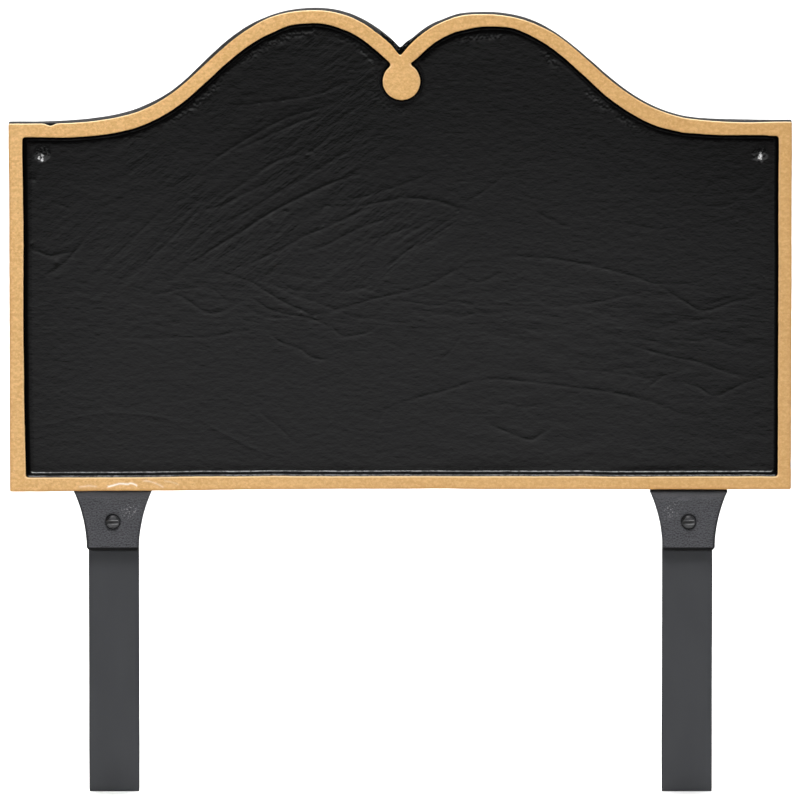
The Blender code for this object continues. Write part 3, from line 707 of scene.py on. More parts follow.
def recess_loop(inset):
    """A line of the border's inner edge or of the stepped wall, this far inside the plaque's outer edge."""
    radius = ROUNDEL_RADIUS + inset - BORDER_WIDTH
    centre = np.array([ROUNDEL_SHIFT, VALLEY_HEIGHT - ROUNDEL_DROP])
    roundel = on_circle(centre, radius, np.radians(np.linspace(90, 450, DENSE_POINTS)))
    left, right = arches_inside(inset, VALLEY_HEIGHT, radius)
    crown = [(left, ARCH_POINTS), (roundel, ROUNDEL_POINTS), (right, ARCH_POINTS)]
    return loop_about(inset, VALLEY_HEIGHT, crown, NECK_FILLET, RECESS_CORNER)


# --- distances and relief ---
def curve_through(controls, spacing):
    """A smooth line through control points, with points this far apart."""
    points = np.asarray(controls, dtype=float)
    padded = np.vstack([2 * points[0] - points[1], points, 2 * points[-1] - points[-2]])
    runs = []
    for a, b, c, d in zip(padded, padded[1:], padded[2:], padded[3:]):
        t = np.linspace(0, 1, 12, endpoint=False)[:, None]
        square, cube = (2 * a - 5 * b + 4 * c - d) * t**2, (3 * b - a - 3 * c + d) * t**3
        runs.append(0.5 * (2 * b + (c - a) * t + square + cube))
    smooth = np.vstack([*runs, points[-1]])
    length = np.linalg.norm(np.diff(smooth, axis=0), axis=1).sum()
    return along(smooth, 0, 0, max(3, int(length / spacing) + 1))


def distance_to_line(points, line):
    """For each point: its distance to an open line, and how far along the line that is, from 0 to 1."""
    start, step = line[:-1], np.diff(line, axis=0)
    offset = points[:, None] - start[None]
    share = np.clip((offset * step).sum(axis=2) / (step**2).sum(axis=1), 0, 1)
    gap = np.linalg.norm(offset - share[..., None] * step, axis=2)
    nearest = gap.argmin(axis=1)
    rows = np.arange(len(points))
    return gap[rows, nearest], (nearest + share[rows, nearest]) / len(step)


def near_box(points, line, margin):
    low, high = line.min(axis=0) - margin, line.max(axis=0) + margin
    return np.flatnonzero(((points > low) & (points < high)).all(axis=1))


def groove_relief(points, line, depth, half_width, seed):
    """The height that a groove, or with a negative depth a ridge, adds at each point."""
    height = np.zeros(len(points))
    near = near_box(points, line, 4 * half_width)
    if len(near) == 0:
        return height
    gap, share = distance_to_line(points[near], line)
    taper = np.clip(4 * np.minimum(share, 1 - share) + 0.15, 0, 1)
    patchy = 0.75 + 0.35 * lumps(points[near], 6 * MM, seed)
    height[near] = -depth * taper * patchy * np.exp(-((gap / half_width) ** 2))
    return height


def spot_relief(points, spot, centre):
    gap = np.linalg.norm(points - centre, axis=1) / spot.radius
    return spot.height * np.exp(-(gap**2))


def turned(points, angle):
    """Points seen along axes turned by an angle: first along it, then across it."""
    cosine, sine = math.cos(math.radians(angle)), math.sin(math.radians(angle))
    x, z = points.T
    return np.column_stack([x * cosine + z * sine, z * cosine - x * sine])


def layered_lumps(points, layers, seed):
    """Long lumps along turned axes, a layer for each turn, length, width and strength."""
    total = 0
    for i, (turn, length, width, strength) in enumerate(layers):
        total = total + strength * lumps(turned(points, turn) / (length, width), 1.0, seed + i)
    return total


def outside_roundel(points, radius=ROUNDEL_RADIUS):
    """How far each (x, z) point lies outside a circle about the roundel's centre."""
    return np.linalg.norm(points - ROUNDEL_CENTRE, axis=1) - radius


def step_between(low, high, values):
    share = np.clip((values - low) / (high - low), 0, 1)
    return share**2 * (3 - 2 * share)


def crease_lines():
    """Every crease of the field as (line, depth), with the sheaves' streaks among them."""
    lines = []
    for depth, path in CREASES.values():
        lines.append((curve_through(seen_at(path, FIELD_Y), CREASE_STEP), depth))
    rng = np.random.default_rng(7)
    for sheaf in SHEAVES:
        first, last = np.array(sheaf.first, float), np.array(sheaf.last, float)
        for share in (np.arange(sheaf.count) + rng.uniform(*SHEAF_PLACES, sheaf.count)) / sheaf.count:
            path = first + share * (last - first) + rng.normal(0, SHEAF_WANDER_PIXELS / 2, first.shape)
            cut_start, cut_end = rng.uniform(0, SHEAF_CUT, 2)
            line = curve_through(seen_at(path, FIELD_Y), SHEAF_STEP)
            keep = line[int(cut_start * len(line)) : int((1 - cut_end) * len(line))]
            depth = sheaf.depth * rng.uniform(*SHEAF_DEPTHS)
            lines.append((along(keep, 0, 0, max(3, len(keep) // 2)), depth))
    return lines


def in_part(points, part):
    """How far each (x, z) point lies in a busy part of the field, from 0 to 1."""
    (start, full), (low, high) = part
    x, z = points.T
    return step_between(start, full, x) * step_between(FOOT_Z + low, FOOT_Z + high, z)


def field_relief(points, edge_gap, creases):
    """How far the field stands out towards the front at each (x, z) point."""
    swell = FIELD_SWELL * lumps(points, FIELD_SWELL_SIZE, 11)
    streaks = layered_lumps(points, FIELD_STREAKS, 12)
    waves = layered_lumps(points, FIELD_WAVES, 14)
    grain = lumps(points, 4.5 * MM, 16) + lumps(points, 8 * MM, 17)
    rippled = in_part(points, STREAKED_PART) * streaks + (CALM_WAVES + in_part(points, WAVY_PART)) * waves
    height = swell + FIELD_RIPPLE * (rippled + FIELD_GRAIN * grain)
    for seed, (line, depth) in enumerate(creases):
        height += groove_relief(points, line, depth, CREASE_HALF_WIDTH, seed + 100)
    for spot in FIELD_SPOTS:
        height += spot_relief(points, spot, seen_spot(spot.place, FIELD_Y))
    height += pitted_band(points, edge_gap)
    height *= step_between(0, 1.5 * MM, edge_gap)
    for place in DIMPLES.values():
        height += dimple_relief(points, seen_spot(place, FIELD_Y))
    return height


def pitted_band(points, edge_gap):
    """Pits of the casting just inside the arches and under the roundel."""
    near, far = PIT_BAND
    under_edge = step_between(near * 0.5, near, edge_gap) * step_between(far, far * 0.5, edge_gap)
    high_up = step_between(SHOULDER_Z - 14 * MM, SHOULDER_Z + 4 * MM, points[:, 1])
    patches = step_between(-0.25, 0.35, lumps(points, 13 * MM, 31))
    patches *= 0.2 + 0.8 * step_between(5 * MM, 11 * MM, outside_roundel(points))
    holes = np.minimum(lumps(points, PIT_SIZE, 32) + 0.15, 0) + 0.4 * lumps(points, PIT_SIZE * 0.7, 33)
    return PIT_DEPTH * under_edge * high_up * patches * holes


def dimple_relief(points, centre):
    gap = np.linalg.norm(points - centre, axis=1) / DIMPLE_RADIUS
    bowl = -DIMPLE_DEPTH * step_between(1.0, 0.25, gap + 0.12 * lumps(points, 1.5 * MM, 43))
    rough = lumps(points, 1.2 * MM, 41) + 0.6 * lumps(points, 0.7 * MM, 42)
    return bowl + DIMPLE_ROUGHNESS * rough * step_between(1.05, 0.55, gap)


def border_relief(points, edge_gap):
    """How far the border's face stands out or in from flat."""
    height = BORDER_RELIEF * (lumps(points, 9 * MM, 51) + 0.6 * lumps(points, 3.2 * MM, 52) - 0.6)
    for seed, (depth, path) in enumerate(BORDER_BURRS.values()):
        line = curve_through(seen_at(path, FRONT_Y), BURR_STEP)
        height += groove_relief(points, line, depth, BURR_HALF_WIDTH, seed + 300)
    for spot in BORDER_SPOTS:
        height += spot_relief(points, spot, seen_spot(spot.place, FRONT_Y))
    return height * step_between(0, 0.6 * MM, edge_gap)


# --- meshes ---
def inside(points, loops):
    """Whether each point lies inside an odd number of closed loops."""
    crossings = np.zeros(len(points), dtype=int)
    for loop in loops:
        ahead = np.roll(loop, -1, axis=0)
        rise = np.where(ahead[:, 1] == loop[:, 1], np.inf, ahead[:, 1] - loop[:, 1])
        for start in range(0, len(points), POINTS_AT_ONCE):
            batch = slice(start, start + POINTS_AT_ONCE)
            x, z = points[batch].T[:, :, None]
            straddles = (loop[:, 1] > z) != (ahead[:, 1] > z)
            at = loop[:, 0] + (z - loop[:, 1]) / rise * (ahead[:, 0] - loop[:, 0])
            crossings[batch] += (straddles & (x < at)).sum(axis=1)
    return crossings % 2 == 1


def gaps_to(points, others):
    """Each point's distance to the nearest of some other points."""
    tree = kdtree.KDTree(len(others))
    for i, (x, z) in enumerate(others):
        tree.insert((x, z, 0), i)
    tree.balance()
    return np.array([tree.find((x, z, 0))[2] for x, z in points])


def thinned(points, spacing):
    """The points without those that share a small square with an earlier one."""
    cells = np.floor(points / spacing).astype(np.int64)
    _, first = np.unique(cells, axis=0, return_index=True)
    return points[np.sort(first)]


def lattice(loop, spacing):
    """Staggered rows of points over a loop's box, each a little out of place."""
    low, high = loop.min(axis=0), loop.max(axis=0)
    columns = np.arange(low[0], high[0], spacing)
    rows = np.arange(low[1], high[1], spacing * math.sqrt(3) / 2)
    x, z = np.meshgrid(columns, rows)
    x = x + spacing / 2 * (np.arange(len(rows)) % 2)[:, None]
    points = np.column_stack([x.ravel(), z.ravel()])
    return points + np.random.default_rng(3).uniform(-0.12, 0.12, points.shape) * spacing


def spread(loops, spacing, wanted=(), finest=()):
    """Points inside the loops: the wanted and the finest ones, and a lattice wherever those leave room."""
    points = lattice(loops[0], spacing)
    if len(wanted):
        wanted = thinned(np.vstack(wanted), MARK_SPACING * 0.75)
        if len(finest):
            wanted = np.vstack([finest, wanted[gaps_to(wanted, finest) > MARK_SPACING * 0.5]])
        points = points[gaps_to(points, wanted) > spacing * CLEARANCE_SHARE]
        points = np.vstack([wanted, points])
    points = points[inside(points, loops)]
    return points[gaps_to(points, np.vstack(loops)) > spacing * CLEARANCE_SHARE]


def triangles_between(loops, inner):
    """Triangles over the space inside closed loops, numbered through the loops and then the inner points."""
    points = np.vstack([*loops, inner])
    edges, start = [], 0
    for loop in loops:
        edges += [(start + i, start + (i + 1) % len(loop)) for i in range(len(loop))]
        start += len(loop)
    flat = [Vector(point) for point in points / MM]
    _, _, faces, origins, _, _ = geometry.delaunay_2d_cdt(flat, edges, [], 0, 1e-6, True)
    number = np.array([origin[0] for origin in origins])
    triangles = number[np.array(faces)]
    a, b, c = (points[triangles[:, i]] for i in range(3))
    turn = (b - a)[:, 0] * (c - a)[:, 1] - (b - a)[:, 1] * (c - a)[:, 0]
    triangles[turn < 0] = triangles[turn < 0][:, ::-1]
    doubtful = np.flatnonzero((triangles < start).all(axis=1))
    middle = points[triangles[doubtful]].mean(axis=1)
    return np.delete(triangles, doubtful[~inside(middle, loops)], axis=0)


def placed(flat, y):
    """Points of the plaque's plane at some depth, as (x, y, z)."""
    return np.column_stack([flat[:, 0], np.broadcast_to(y, len(flat)), flat[:, 1]])


class Shell:
    """The points and faces of one closed surface while it is put together."""

    def __init__(self):
        self.points = np.empty((0, 3))
        self.faces = []

    def add(self, points):
        numbers = np.arange(len(points)) + len(self.points)
        self.points = np.vstack([self.points, points])
        return numbers

    def stack(self, rings, facing_in=False):
        """Joins rings one after the other, and gives the numbers of each one's points."""
        numbers = [self.add(ring) for ring in rings]
        for ring, following in zip(numbers, numbers[1:]):
            self.skirt(*((following, ring) if facing_in else (ring, following)))
        return numbers

    def skirt(self, ring, following):
        """Joins two rings of as many points, which run clockwise seen from the side that they face."""
        ahead, following_ahead = np.roll(ring, -1), np.roll(following, -1)
        self.faces += np.column_stack([ring, ahead, following_ahead, following]).tolist()

    def fill(self, rings, loops, inner, heights, y, facing_front):
        """Closes the space between rings with a surface of given heights above its depth."""
        triangles = triangles_between(loops, inner)
        numbers = np.concatenate([*rings, self.add(placed(inner, y - heights))])
        if not facing_front:
            triangles = triangles[:, ::-1]
        self.faces += numbers[triangles].tolist()


def new_object(name, mesh):
    obj = bpy.data.objects.new(name, mesh)
    bpy.context.scene.collection.objects.link(obj)
    return obj


def bmesh_object(name, work):
    mesh = bpy.data.meshes.new(name)
    work.to_mesh(mesh)
    work.free()
    return new_object(name, mesh)


def mesh_piece(name, points, faces):
    mesh = bpy.data.meshes.new(name)
    mesh.from_pydata(points.tolist(), [], faces)
    mesh.shade_smooth()
    return new_object(name, mesh)


def dress(piece, material, slot, *nodes):
    """Gives a piece its material and its place in the frame."""
    piece.data.materials.clear()
    piece.data.materials.append(material)
    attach(piece, BODY)
    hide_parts(*nodes)


# --- plaque ---
def rim_profile():
    """The rim's section as (inset, y), from the border's face round to the back."""
    front, back = [], []
    for angle in np.radians(np.linspace(0, 90, RIM_EDGE_STEPS + 1)):
        front.append((RIM_ROUNDING * (1 - math.sin(angle)), FRONT_Y + RIM_ROUNDING * (1 - math.cos(angle))))
        back.append((BACK_ROUNDING * (1 - math.cos(angle)), BACK_Y - BACK_ROUNDING * (1 - math.sin(angle))))
    middle = [(0.0, y) for y in np.linspace(FRONT_Y + RIM_ROUNDING, BACK_Y - BACK_ROUNDING, 9)[1:-1]]
    return [(inset + OUTLINE_MARGIN, y) for inset, y in front + middle + back]


def recess_profile():
    """The stepped wall's section as (inset, y), from the border's face to the field."""
    profile = []
    for angle in np.radians(np.linspace(0, 80, BORDER_EDGE_STEPS + 1)):
        inset = BORDER_WIDTH + 0.15 * MM - BORDER_ROUNDING * (1 - math.sin(angle))
        profile.append((inset, FRONT_Y + 0.8 * BORDER_ROUNDING * (1 - math.cos(angle))))
    foot_of_upper = BORDER_WIDTH + UPPER_WALL_RUN
    ledge_end = foot_of_upper + LEDGE_WIDTH
    field_start = ledge_end + LOWER_WALL_RUN
    return profile + [
        (BORDER_WIDTH + 0.45 * UPPER_WALL_RUN, FRONT_Y + 0.58 * UPPER_WALL_DEPTH),
        (foot_of_upper - 0.20 * MM, LEDGE_Y - 0.30 * MM),
        (foot_of_upper + 0.05 * MM, LEDGE_Y - 0.05 * MM),
        (ledge_end - 0.15 * MM, LEDGE_Y),
        (ledge_end, LEDGE_Y + 0.10 * MM),
        (field_start - 0.10 * MM, FIELD_Y - 0.25 * MM),
        (field_start + 0.10 * MM, FIELD_Y - 0.05 * MM),
        (field_start + 0.50 * MM, FIELD_Y),
    ]


def rim_ring(inset, y):
    """One line round the rim. Behind the valley it climbs the web, and the sand's coarseness roughens it."""
    deep = np.clip((y - FRONT_Y - RIM_ROUNDING) / (BACK_Y - FRONT_Y - RIM_ROUNDING), 0, 1)
    loop = outer_loop(inset, VALLEY_HEIGHT + VALLEY_WEB * deep**VALLEY_WEB_SPEED)
    front = step_between(0.75, 0.1, deep)
    loop = trimmed(
        loop,
        lambda column: front * trim_at(column, FRONT_TOP_TRIM) + (1 - front) * trim_at(column, BACK_TOP_TRIM),
        lambda column: front * trim_at(column, FRONT_FOOT_TRIM),
        lambda row: trim_at(row, LEFT_SIDE_TRIM),
    )
    solid_wall = step_between(0, 0.12, deep) * step_between(1.0, 0.88, deep)
    inward = inward_of(loop)
    web = np.exp(-((loop[:, 0] / WEB_REACH) ** 2)) * (loop[:, 1] > SHOULDER_Z)
    rough = 0.5 + 0.5 * lumps(placed(loop, y), WALL_RELIEF_SIZE, 61)
    clods = 0.5 + 0.5 * lumps(placed(loop, y), WEB_RELIEF_SIZE, 62)
    reach = (WALL_RELIEF * rough + WEB_RELIEF * web * clods) * solid_wall
    return placed(loop + inward * reach[:, None], y)


def wall_ring(step, inset, y):
    """One line of the stepped wall. The wall between border and ledge is rough."""
    loop = recess_loop(inset)
    loop = trimmed(
        loop,
        lambda column: trim_at(column, RECESS_TOP_TRIM),
        lambda column: trim_at(column, RECESS_FOOT_TRIM),
        lambda row: trim_at(row, RECESS_LEFT_TRIM),
        step_between(0.3 * MM, 3 * MM, outside_roundel(loop, ROUNDEL_RADIUS + inset - BORDER_WIDTH)),
    )
    if step in UPPER_WALL_STEPS:
        rough = np.column_stack([lumps(loop, 1.3 * MM, 63), lumps(loop, 1.1 * MM, 64)])
        loop = loop + UPPER_WALL_ROUGHNESS * rough
    return placed(loop, y)


def rows_beside(line, offsets):
    """Rows of points along a line, at some distances to either side."""
    return [offset_right(line, offset) for offset in offsets]


def rings_about(centre, radii, spacing):
    rings = []
    for radius in radii:
        count = max(6, int(2 * math.pi * radius / spacing))
        rings.append(on_circle(centre, radius, np.linspace(0, 2 * math.pi, count, endpoint=False)))
    return rings


def spot_rings(spots_there, y, shares):
    """Rings about the spots of a surface, with a point at each one's middle."""
    rings = []
    for spot in spots_there:
        radii = [0.1 * MM] + [share * spot.radius for share in shares]
        rings += rings_about(seen_spot(spot.place, y), radii, MARK_SPACING)
    return rings


def field_marks(creases, loop):
    """The places where the field's mesh is finer."""
    marks = spot_rings(FIELD_SPOTS, FIELD_Y, (0.5, 1.0, 1.6))
    for line, depth in creases:
        if depth >= CLEAR or depth < 0:
            marks += rows_beside(line, np.array((0.0, -1.0, 1.0)) * CREASE_HALF_WIDTH * 1.05)
    pits = lattice(loop, PIT_SIZE * 0.5)
    pits = pits[pits[:, 1] > SHOULDER_Z - 12 * MM]
    pits = pits[inside(pits, [loop])]
    gap = gaps_to(pits, loop)
    marks.append(pits[(gap > PIT_BAND[0] * 0.7) & (gap < PIT_BAND[1] * 0.8)])
    return marks


def dimple_marks():
    """A close lattice over the two dimples."""
    marks = []
    reach = DIMPLE_RADIUS * DIMPLE_MARGIN
    for place in DIMPLES.values():
        centre = seen_spot(place, FIELD_Y)
        around = lattice(centre + reach * np.array([(-1, -1), (1, 1)]), DIMPLE_SPACING)
        marks.append(around[np.linalg.norm(around - centre, axis=1) < reach])
    return np.vstack(marks)


def border_marks():
    """The places where the border's mesh is finer."""
    marks = []
    for _, path in BORDER_BURRS.values():
        line = curve_through(seen_at(path, FRONT_Y), 0.45 * MM)
        marks += rows_beside(line, (0.0, -0.3 * MM, 0.3 * MM, -0.7 * MM, 0.7 * MM))
    return marks + spot_rings(BORDER_SPOTS, FRONT_Y, (0.5, 1.0))


def front_share(y, band):
    """0 behind a band of depths and 1 before it, the band given as (back, front) behind the border's face."""
    back, front = band
    return step_between(FRONT_Y + back, FRONT_Y + front, y)


def wandered(points):
    """The plaque's points moved as a real casting's are: uneven edges, the sag at its foot, and nicks."""
    x, y, z = points.T
    flat = points[:, (0, 2)]
    moved = points.copy()
    for axis, seed in ((0, 71), (2, 72)):
        moved[:, axis] += EDGE_WANDER * lumps(flat, EDGE_WANDER_SIZE, seed)
        moved[:, axis] += EDGE_RIPPLE * lumps(points, EDGE_RIPPLE_SIZE, seed + 5)
    at_foot = step_between(FOOT_Z + BORDER_WIDTH * 0.8, FOOT_Z + RIM_ROUNDING, z)
    at_front = front_share(y, SAG_DEPTH_BAND)
    leftwards = np.clip((LEFT_SAG_END_X - x) / (LEFT_SAG_END_X + HALF_WIDTH), 0, 1) ** 0.7
    moved[:, 2] -= LEFT_SAG * at_foot * at_front * leftwards
    near_front = front_share(y, NICK_DEPTH_BAND)
    for nick in NICKS.values():
        gap = np.linalg.norm(flat - seen_spot(nick.place, FRONT_Y), axis=1) / nick.radius
        share = near_front * np.exp(-(gap**2))
        moved[:, 0] += nick.push[0] * share
        moved[:, 2] += nick.push[1] * share
    return np.clip(moved, cad_low, cad_high)


def burr_wear(points):
    """How pale the gilding is at each point: 1 along the burrs on the border's foot, rubbed paint under a
    painted highlight.
    """
    wear = np.zeros(len(points))
    on_front = np.flatnonzero(points[:, 1] < FRONT_Y + 0.6 * MM)
    flat = points[on_front][:, (0, 2)]
    for depth, path in BORDER_BURRS.values():
        line = curve_through(seen_at(path, FRONT_Y), BURR_STEP)
        near = near_box(flat, line, 2 * MM)
        if len(near):
            gap, _ = distance_to_line(flat[near], line)
            strength = min(1.0, (abs(depth) / BURR_FULL_WEAR) ** 1.1)
            worn = strength * np.exp(-((gap / BURR_WEAR_WIDTH) ** 2))
            wear[on_front[near]] = np.maximum(wear[on_front[near]], worn)
    return wear


def glint_wear(points):
    """How much bare metal with a painted glint shows at each point of the two pilot dimples."""
    wear = np.zeros(len(points))
    in_field = np.flatnonzero(points[:, 1] > LEDGE_Y)
    in_field = in_field[points[in_field, 1] < BACK_Y - 1 * MM]
    flat = points[in_field][:, (0, 2)]
    for place, radius in DIMPLE_GLINTS.values():
        gap = np.linalg.norm(flat - seen_spot(place, FIELD_Y), axis=1) / radius
        ragged = gap + 0.45 * lumps(flat, 0.55 * MM, 44)
        wear[in_field] = np.maximum(wear[in_field], step_between(1.25, 0.75, ragged))
    return wear


def set_attributes(piece, **attributes):
    for name, values in attributes.items():
        piece.data.attributes.new(name, "FLOAT", "POINT").data.foreach_set("value", values)


def facing(ring):
    """How much each point of a line round the plaque has its inner side up, down, right and left."""
    aside, up = inward_of(ring[:, (0, 2)]).T
    return [np.clip(value, 0, None) ** 2 for value in (up, -up, aside, -aside)]


def wall_tone(ring, step):
    """How pale or dark the painted light and shade is along one line of the stepped wall."""
    over, under, left, right = facing(ring)
    low_down = ring[:, 2] < FOOT_Z + SHOULDER_HEIGHT / 2
    tones = {name: values[step] for name, values in WALL_TONES.items()}
    over = over * np.where(low_down, tones["over"], tones["under"])
    tone = over + under * tones["under"] + left * tones["left"] + right * tones["right"]
    by_roundel = outside_roundel(ring[:, (0, 2)]) < 5 * MM
    return tone * np.where(by_roundel & (step > 6), ROUNDEL_TONE_SHARE, 1.0)


def edge_tone(ring, outer):
    """How pale or dark the painted highlight and shade of the gilding is along one rounded edge of the border.
    """
    up, down, right, left = facing(ring)
    if outer:
        up, down = down, up
    below, beside = ("down", "outer") if outer else ("lip", "inner")
    return up * EDGE_TONES["up"] + down * EDGE_TONES[below] + (left + right) * EDGE_TONES[beside]


def rim_tone(ring):
    """How dark the painted shade on the rim is: black in the valley and in the nick, with none elsewhere."""
    nick = seen_spot(NICKS["shoulder_nick"].place, FRONT_Y)
    flat = ring[:, (0, 2)]
    y = ring[:, 1]
    at_nick = np.exp(-((np.linalg.norm(flat - nick, axis=1) / NICK_SHADE_RADIUS) ** 2))
    at_nick *= front_share(y, NICK_SHADE_BAND)
    aside = np.abs(flat[:, 0]) / WEB_DARKNESS_REACH
    in_valley = np.exp(-(aside**4)) * (flat[:, 1] > SHOULDER_Z)
    in_valley *= np.maximum(front_share(y, VALLEY_SHADE_BAND), step_between(0.55, 0.30, aside))
    return -np.maximum(in_valley, at_nick)


def shade_plaque(piece, points, rim, rim_rings, wall, wall_rings):
    """Keeps how pale the burrs and dimple glints are, the painted light and shade, and the tilt at each point,
    and gives the painted light and shade.
    """
    tone, edge = np.zeros(len(points)), np.zeros(len(points))
    for step, numbers in enumerate(wall_rings):
        tone[numbers] = wall_tone(wall[step], step)
        edge[numbers] = edge_tone(wall[step], False) * (0 < step < BORDER_EDGE_STEPS)
    for step, numbers in enumerate(rim_rings):
        tone[numbers] = rim_tone(rim[step]) * (step > RIM_EDGE_STEPS)
        edge[numbers] = edge_tone(rim[step], True) * (0 < step <= RIM_EDGE_STEPS)
    edge[rim_rings[0]] = 0.6 * np.minimum(edge_tone(rim[0], True), 0)
    # The tilt drives the painted shade of the field's relief, as if lit from above
    tilt = vertex_values(piece.data, "normal")[:, 2]
    tilt[np.concatenate(rim_rings + wall_rings[:-1])] = 0.0
    set_attributes(piece, wear=burr_wear(points) + glint_wear(points), tone=tone, edge=edge, tilt=tilt)
    return tone


def make_plaque(material, recess_material):
    shell = Shell()
    rim = [rim_ring(inset, y) for inset, y in rim_profile()]
    rim_rings = shell.stack(rim)
    wall = [wall_ring(step, inset, y) for step, (inset, y) in enumerate(recess_profile())]
    wall_rings = shell.stack(wall, facing_in=True)

    border_loops = [rim[0][:, (0, 2)], wall[0][:, (0, 2)]]
    border = spread(border_loops, BORDER_SPACING, border_marks())
    heights = border_relief(border, gaps_to(border, np.vstack(border_loops)))
    shell.fill([rim_rings[0], wall_rings[0]], border_loops, border, heights, FRONT_Y, True)

    field_loops = [wall[-1][:, (0, 2)]]
    creases = crease_lines()
    field = spread(field_loops, FIELD_SPACING, field_marks(creases, field_loops[0]), dimple_marks())
    heights = field_relief(field, gaps_to(field, field_loops[0]), creases)
    shell.fill([wall_rings[-1]], field_loops, field, heights, FIELD_Y, True)

    back_loops = [rim[-1][:, (0, 2)]]
    back = spread(back_loops, BACK_SPACING)
    heights = BACK_RELIEF * (lumps(back, 40 * MM, 81) + 0.5 * lumps(back, 14 * MM, 82) + 0.6)
    shell.fill([rim_rings[-1]], back_loops, back, heights, BACK_Y, False)

    piece = mesh_piece("plaque_casting", wandered(shell.points), shell.faces)
    tone = shade_plaque(piece, shell.points, rim, rim_rings, wall, wall_rings)
    dress(piece, material, "plaque_black", "plaque")
    # Faces with strong painted light and shade take the copy of the paint without reflection
    piece.data.materials.append(recess_material)
    for face in piece.data.polygons:
        face.material_index = int(max(abs(tone[vertex]) for vertex in face.vertices) > RECESS_TONE)


# --- materials ---
def grey(value):
    return (value, value, value, 1.0)


def rgb(red, green, blue):
    return (red, green, blue, 1.0)


def put(tree, socket, value):
    if isinstance(value, bpy.types.NodeSocket):
        tree.links.new(value, socket)
    else:
        socket.default_value = value


def add_node(tree, kind, *values, **settings):
    """A new node with its settings, and its inputs filled in their order where a value is given."""
    node = tree.nodes.new(kind)
    for name, value in settings.items():
        setattr(node, name, value)
    for socket, value in zip(node.inputs, values):
        if value is not None:
            put(tree, socket, value)
    return node


class Recipe:
    """A material while its nodes are put together."""

    def __init__(self, name, specular):
        self.material = bpy.data.materials.new(name)
        self.material.use_nodes = True
        self.tree = self.material.node_tree
        self.shader = self.tree.nodes["Principled BSDF"]
        self.shader.inputs["Specular IOR Level"].default_value = specular
        self.place = self.node("ShaderNodeTexCoord").outputs["Object"]

    def node(self, kind, *values, **settings):
        return add_node(self.tree, kind, *values, **settings)

    def math(self, operation, *values):
        return self.node("ShaderNodeMath", *values, operation=operation).outputs[0]

    def times(self, product, *factors):
        for factor in factors:
            product = self.math("MULTIPLY", product, factor)
        return product

    def plus(self, base, value, amount=1.0):
        return self.math("MULTIPLY_ADD", value, amount, base)

    def attribute(self, name):
        return self.node("ShaderNodeAttribute", attribute_name=name).outputs["Fac"]

    def axes(self):
        """Each place's x, y and z."""
        return self.node("ShaderNodeSeparateXYZ", self.place).outputs

    def noise(self, size, detail=2.0, stretch=(1, 1, 1), shift=(0, 0, 0), rise=0.0):
        """Noise from 0 to 1 with lumps of about this size, its first axis rising to the right by an angle."""
        lengths = [1 / share for share in stretch]
        placing = (self.place, shift, (0, -math.radians(rise), 0), lengths)
        moved = self.node("ShaderNodeMapping", *placing, vector_type="TEXTURE").outputs[0]
        return self.node("ShaderNodeTexNoise", moved, None, 1 / size, detail).outputs[0]

    def emboss(self, size, step, stretch=(1, 1, 1), rise=0.0):
        """How much a noise's relief faces up at each place, about zero."""
        here = self.noise(size, 3.0, stretch, rise=rise)
        return self.math("SUBTRACT", here, self.noise(size, 3.0, stretch, (0, 0, -step), rise))

    def between(self, low, high, value, first=0.0, second=1.0):
        """The first number where the value is at low, the second where it is at high, smooth between them."""
        ends = (value, low, high, first, second)
        return self.node("ShaderNodeMapRange", *ends, interpolation_type="SMOOTHSTEP").outputs[0]

    def level(self, share, first, second):
        """A number between two others."""
        return self.node("ShaderNodeMapRange", share, 0.0, 1.0, first, second).outputs[0]

    def layered(self, colour, *layers):
        """A colour with others over it, each given by its share at each place, its cover and its colour."""
        for share, cover, over in layers:
            node = self.node("ShaderNodeMix", data_type="RGBA")
            for number, value in ((0, self.times(share, cover)), (6, colour), (7, over)):
                put(self.tree, node.inputs[number], value)
            colour = node.outputs[2]
        return colour

    def bump(self, height, distance, under=None):
        node = self.node("ShaderNodeBump")
        for name, value in (("Distance", distance), ("Height", height), ("Normal", under)):
            if value is not None:
                put(self.tree, node.inputs[name], value)
        return node.outputs[0]

    def done(self, colour, roughness, normal):
        for name, value in (("Base Color", colour), ("Roughness", roughness), ("Normal", normal)):
            put(self.tree, self.shader.inputs[name], value)
        return self.material


def plaque_paint(name, specular):
    """Black enamel, with gold on whatever stands at the border's level."""
    paint = Recipe(name, specular)
    _, depth, _ = paint.axes()
    brush_edge = paint.plus(depth, paint.noise(2.2 * MM), 0.35 * MM)
    gold = paint.between(FRONT_Y + 0.86 * MM, FRONT_Y + 0.72 * MM, brush_edge)
    colour = paint.layered(black_enamel(paint), (gold, 1.0, gilding(paint)))
    peel = paint.plus(paint.times(paint.noise(0.5 * MM), 0.3), paint.noise(1.6 * MM, 3.0), 0.6)
    return paint.done(colour, paint.level(gold, 0.42, 0.36), paint.bump(peel, 0.30 * MM))


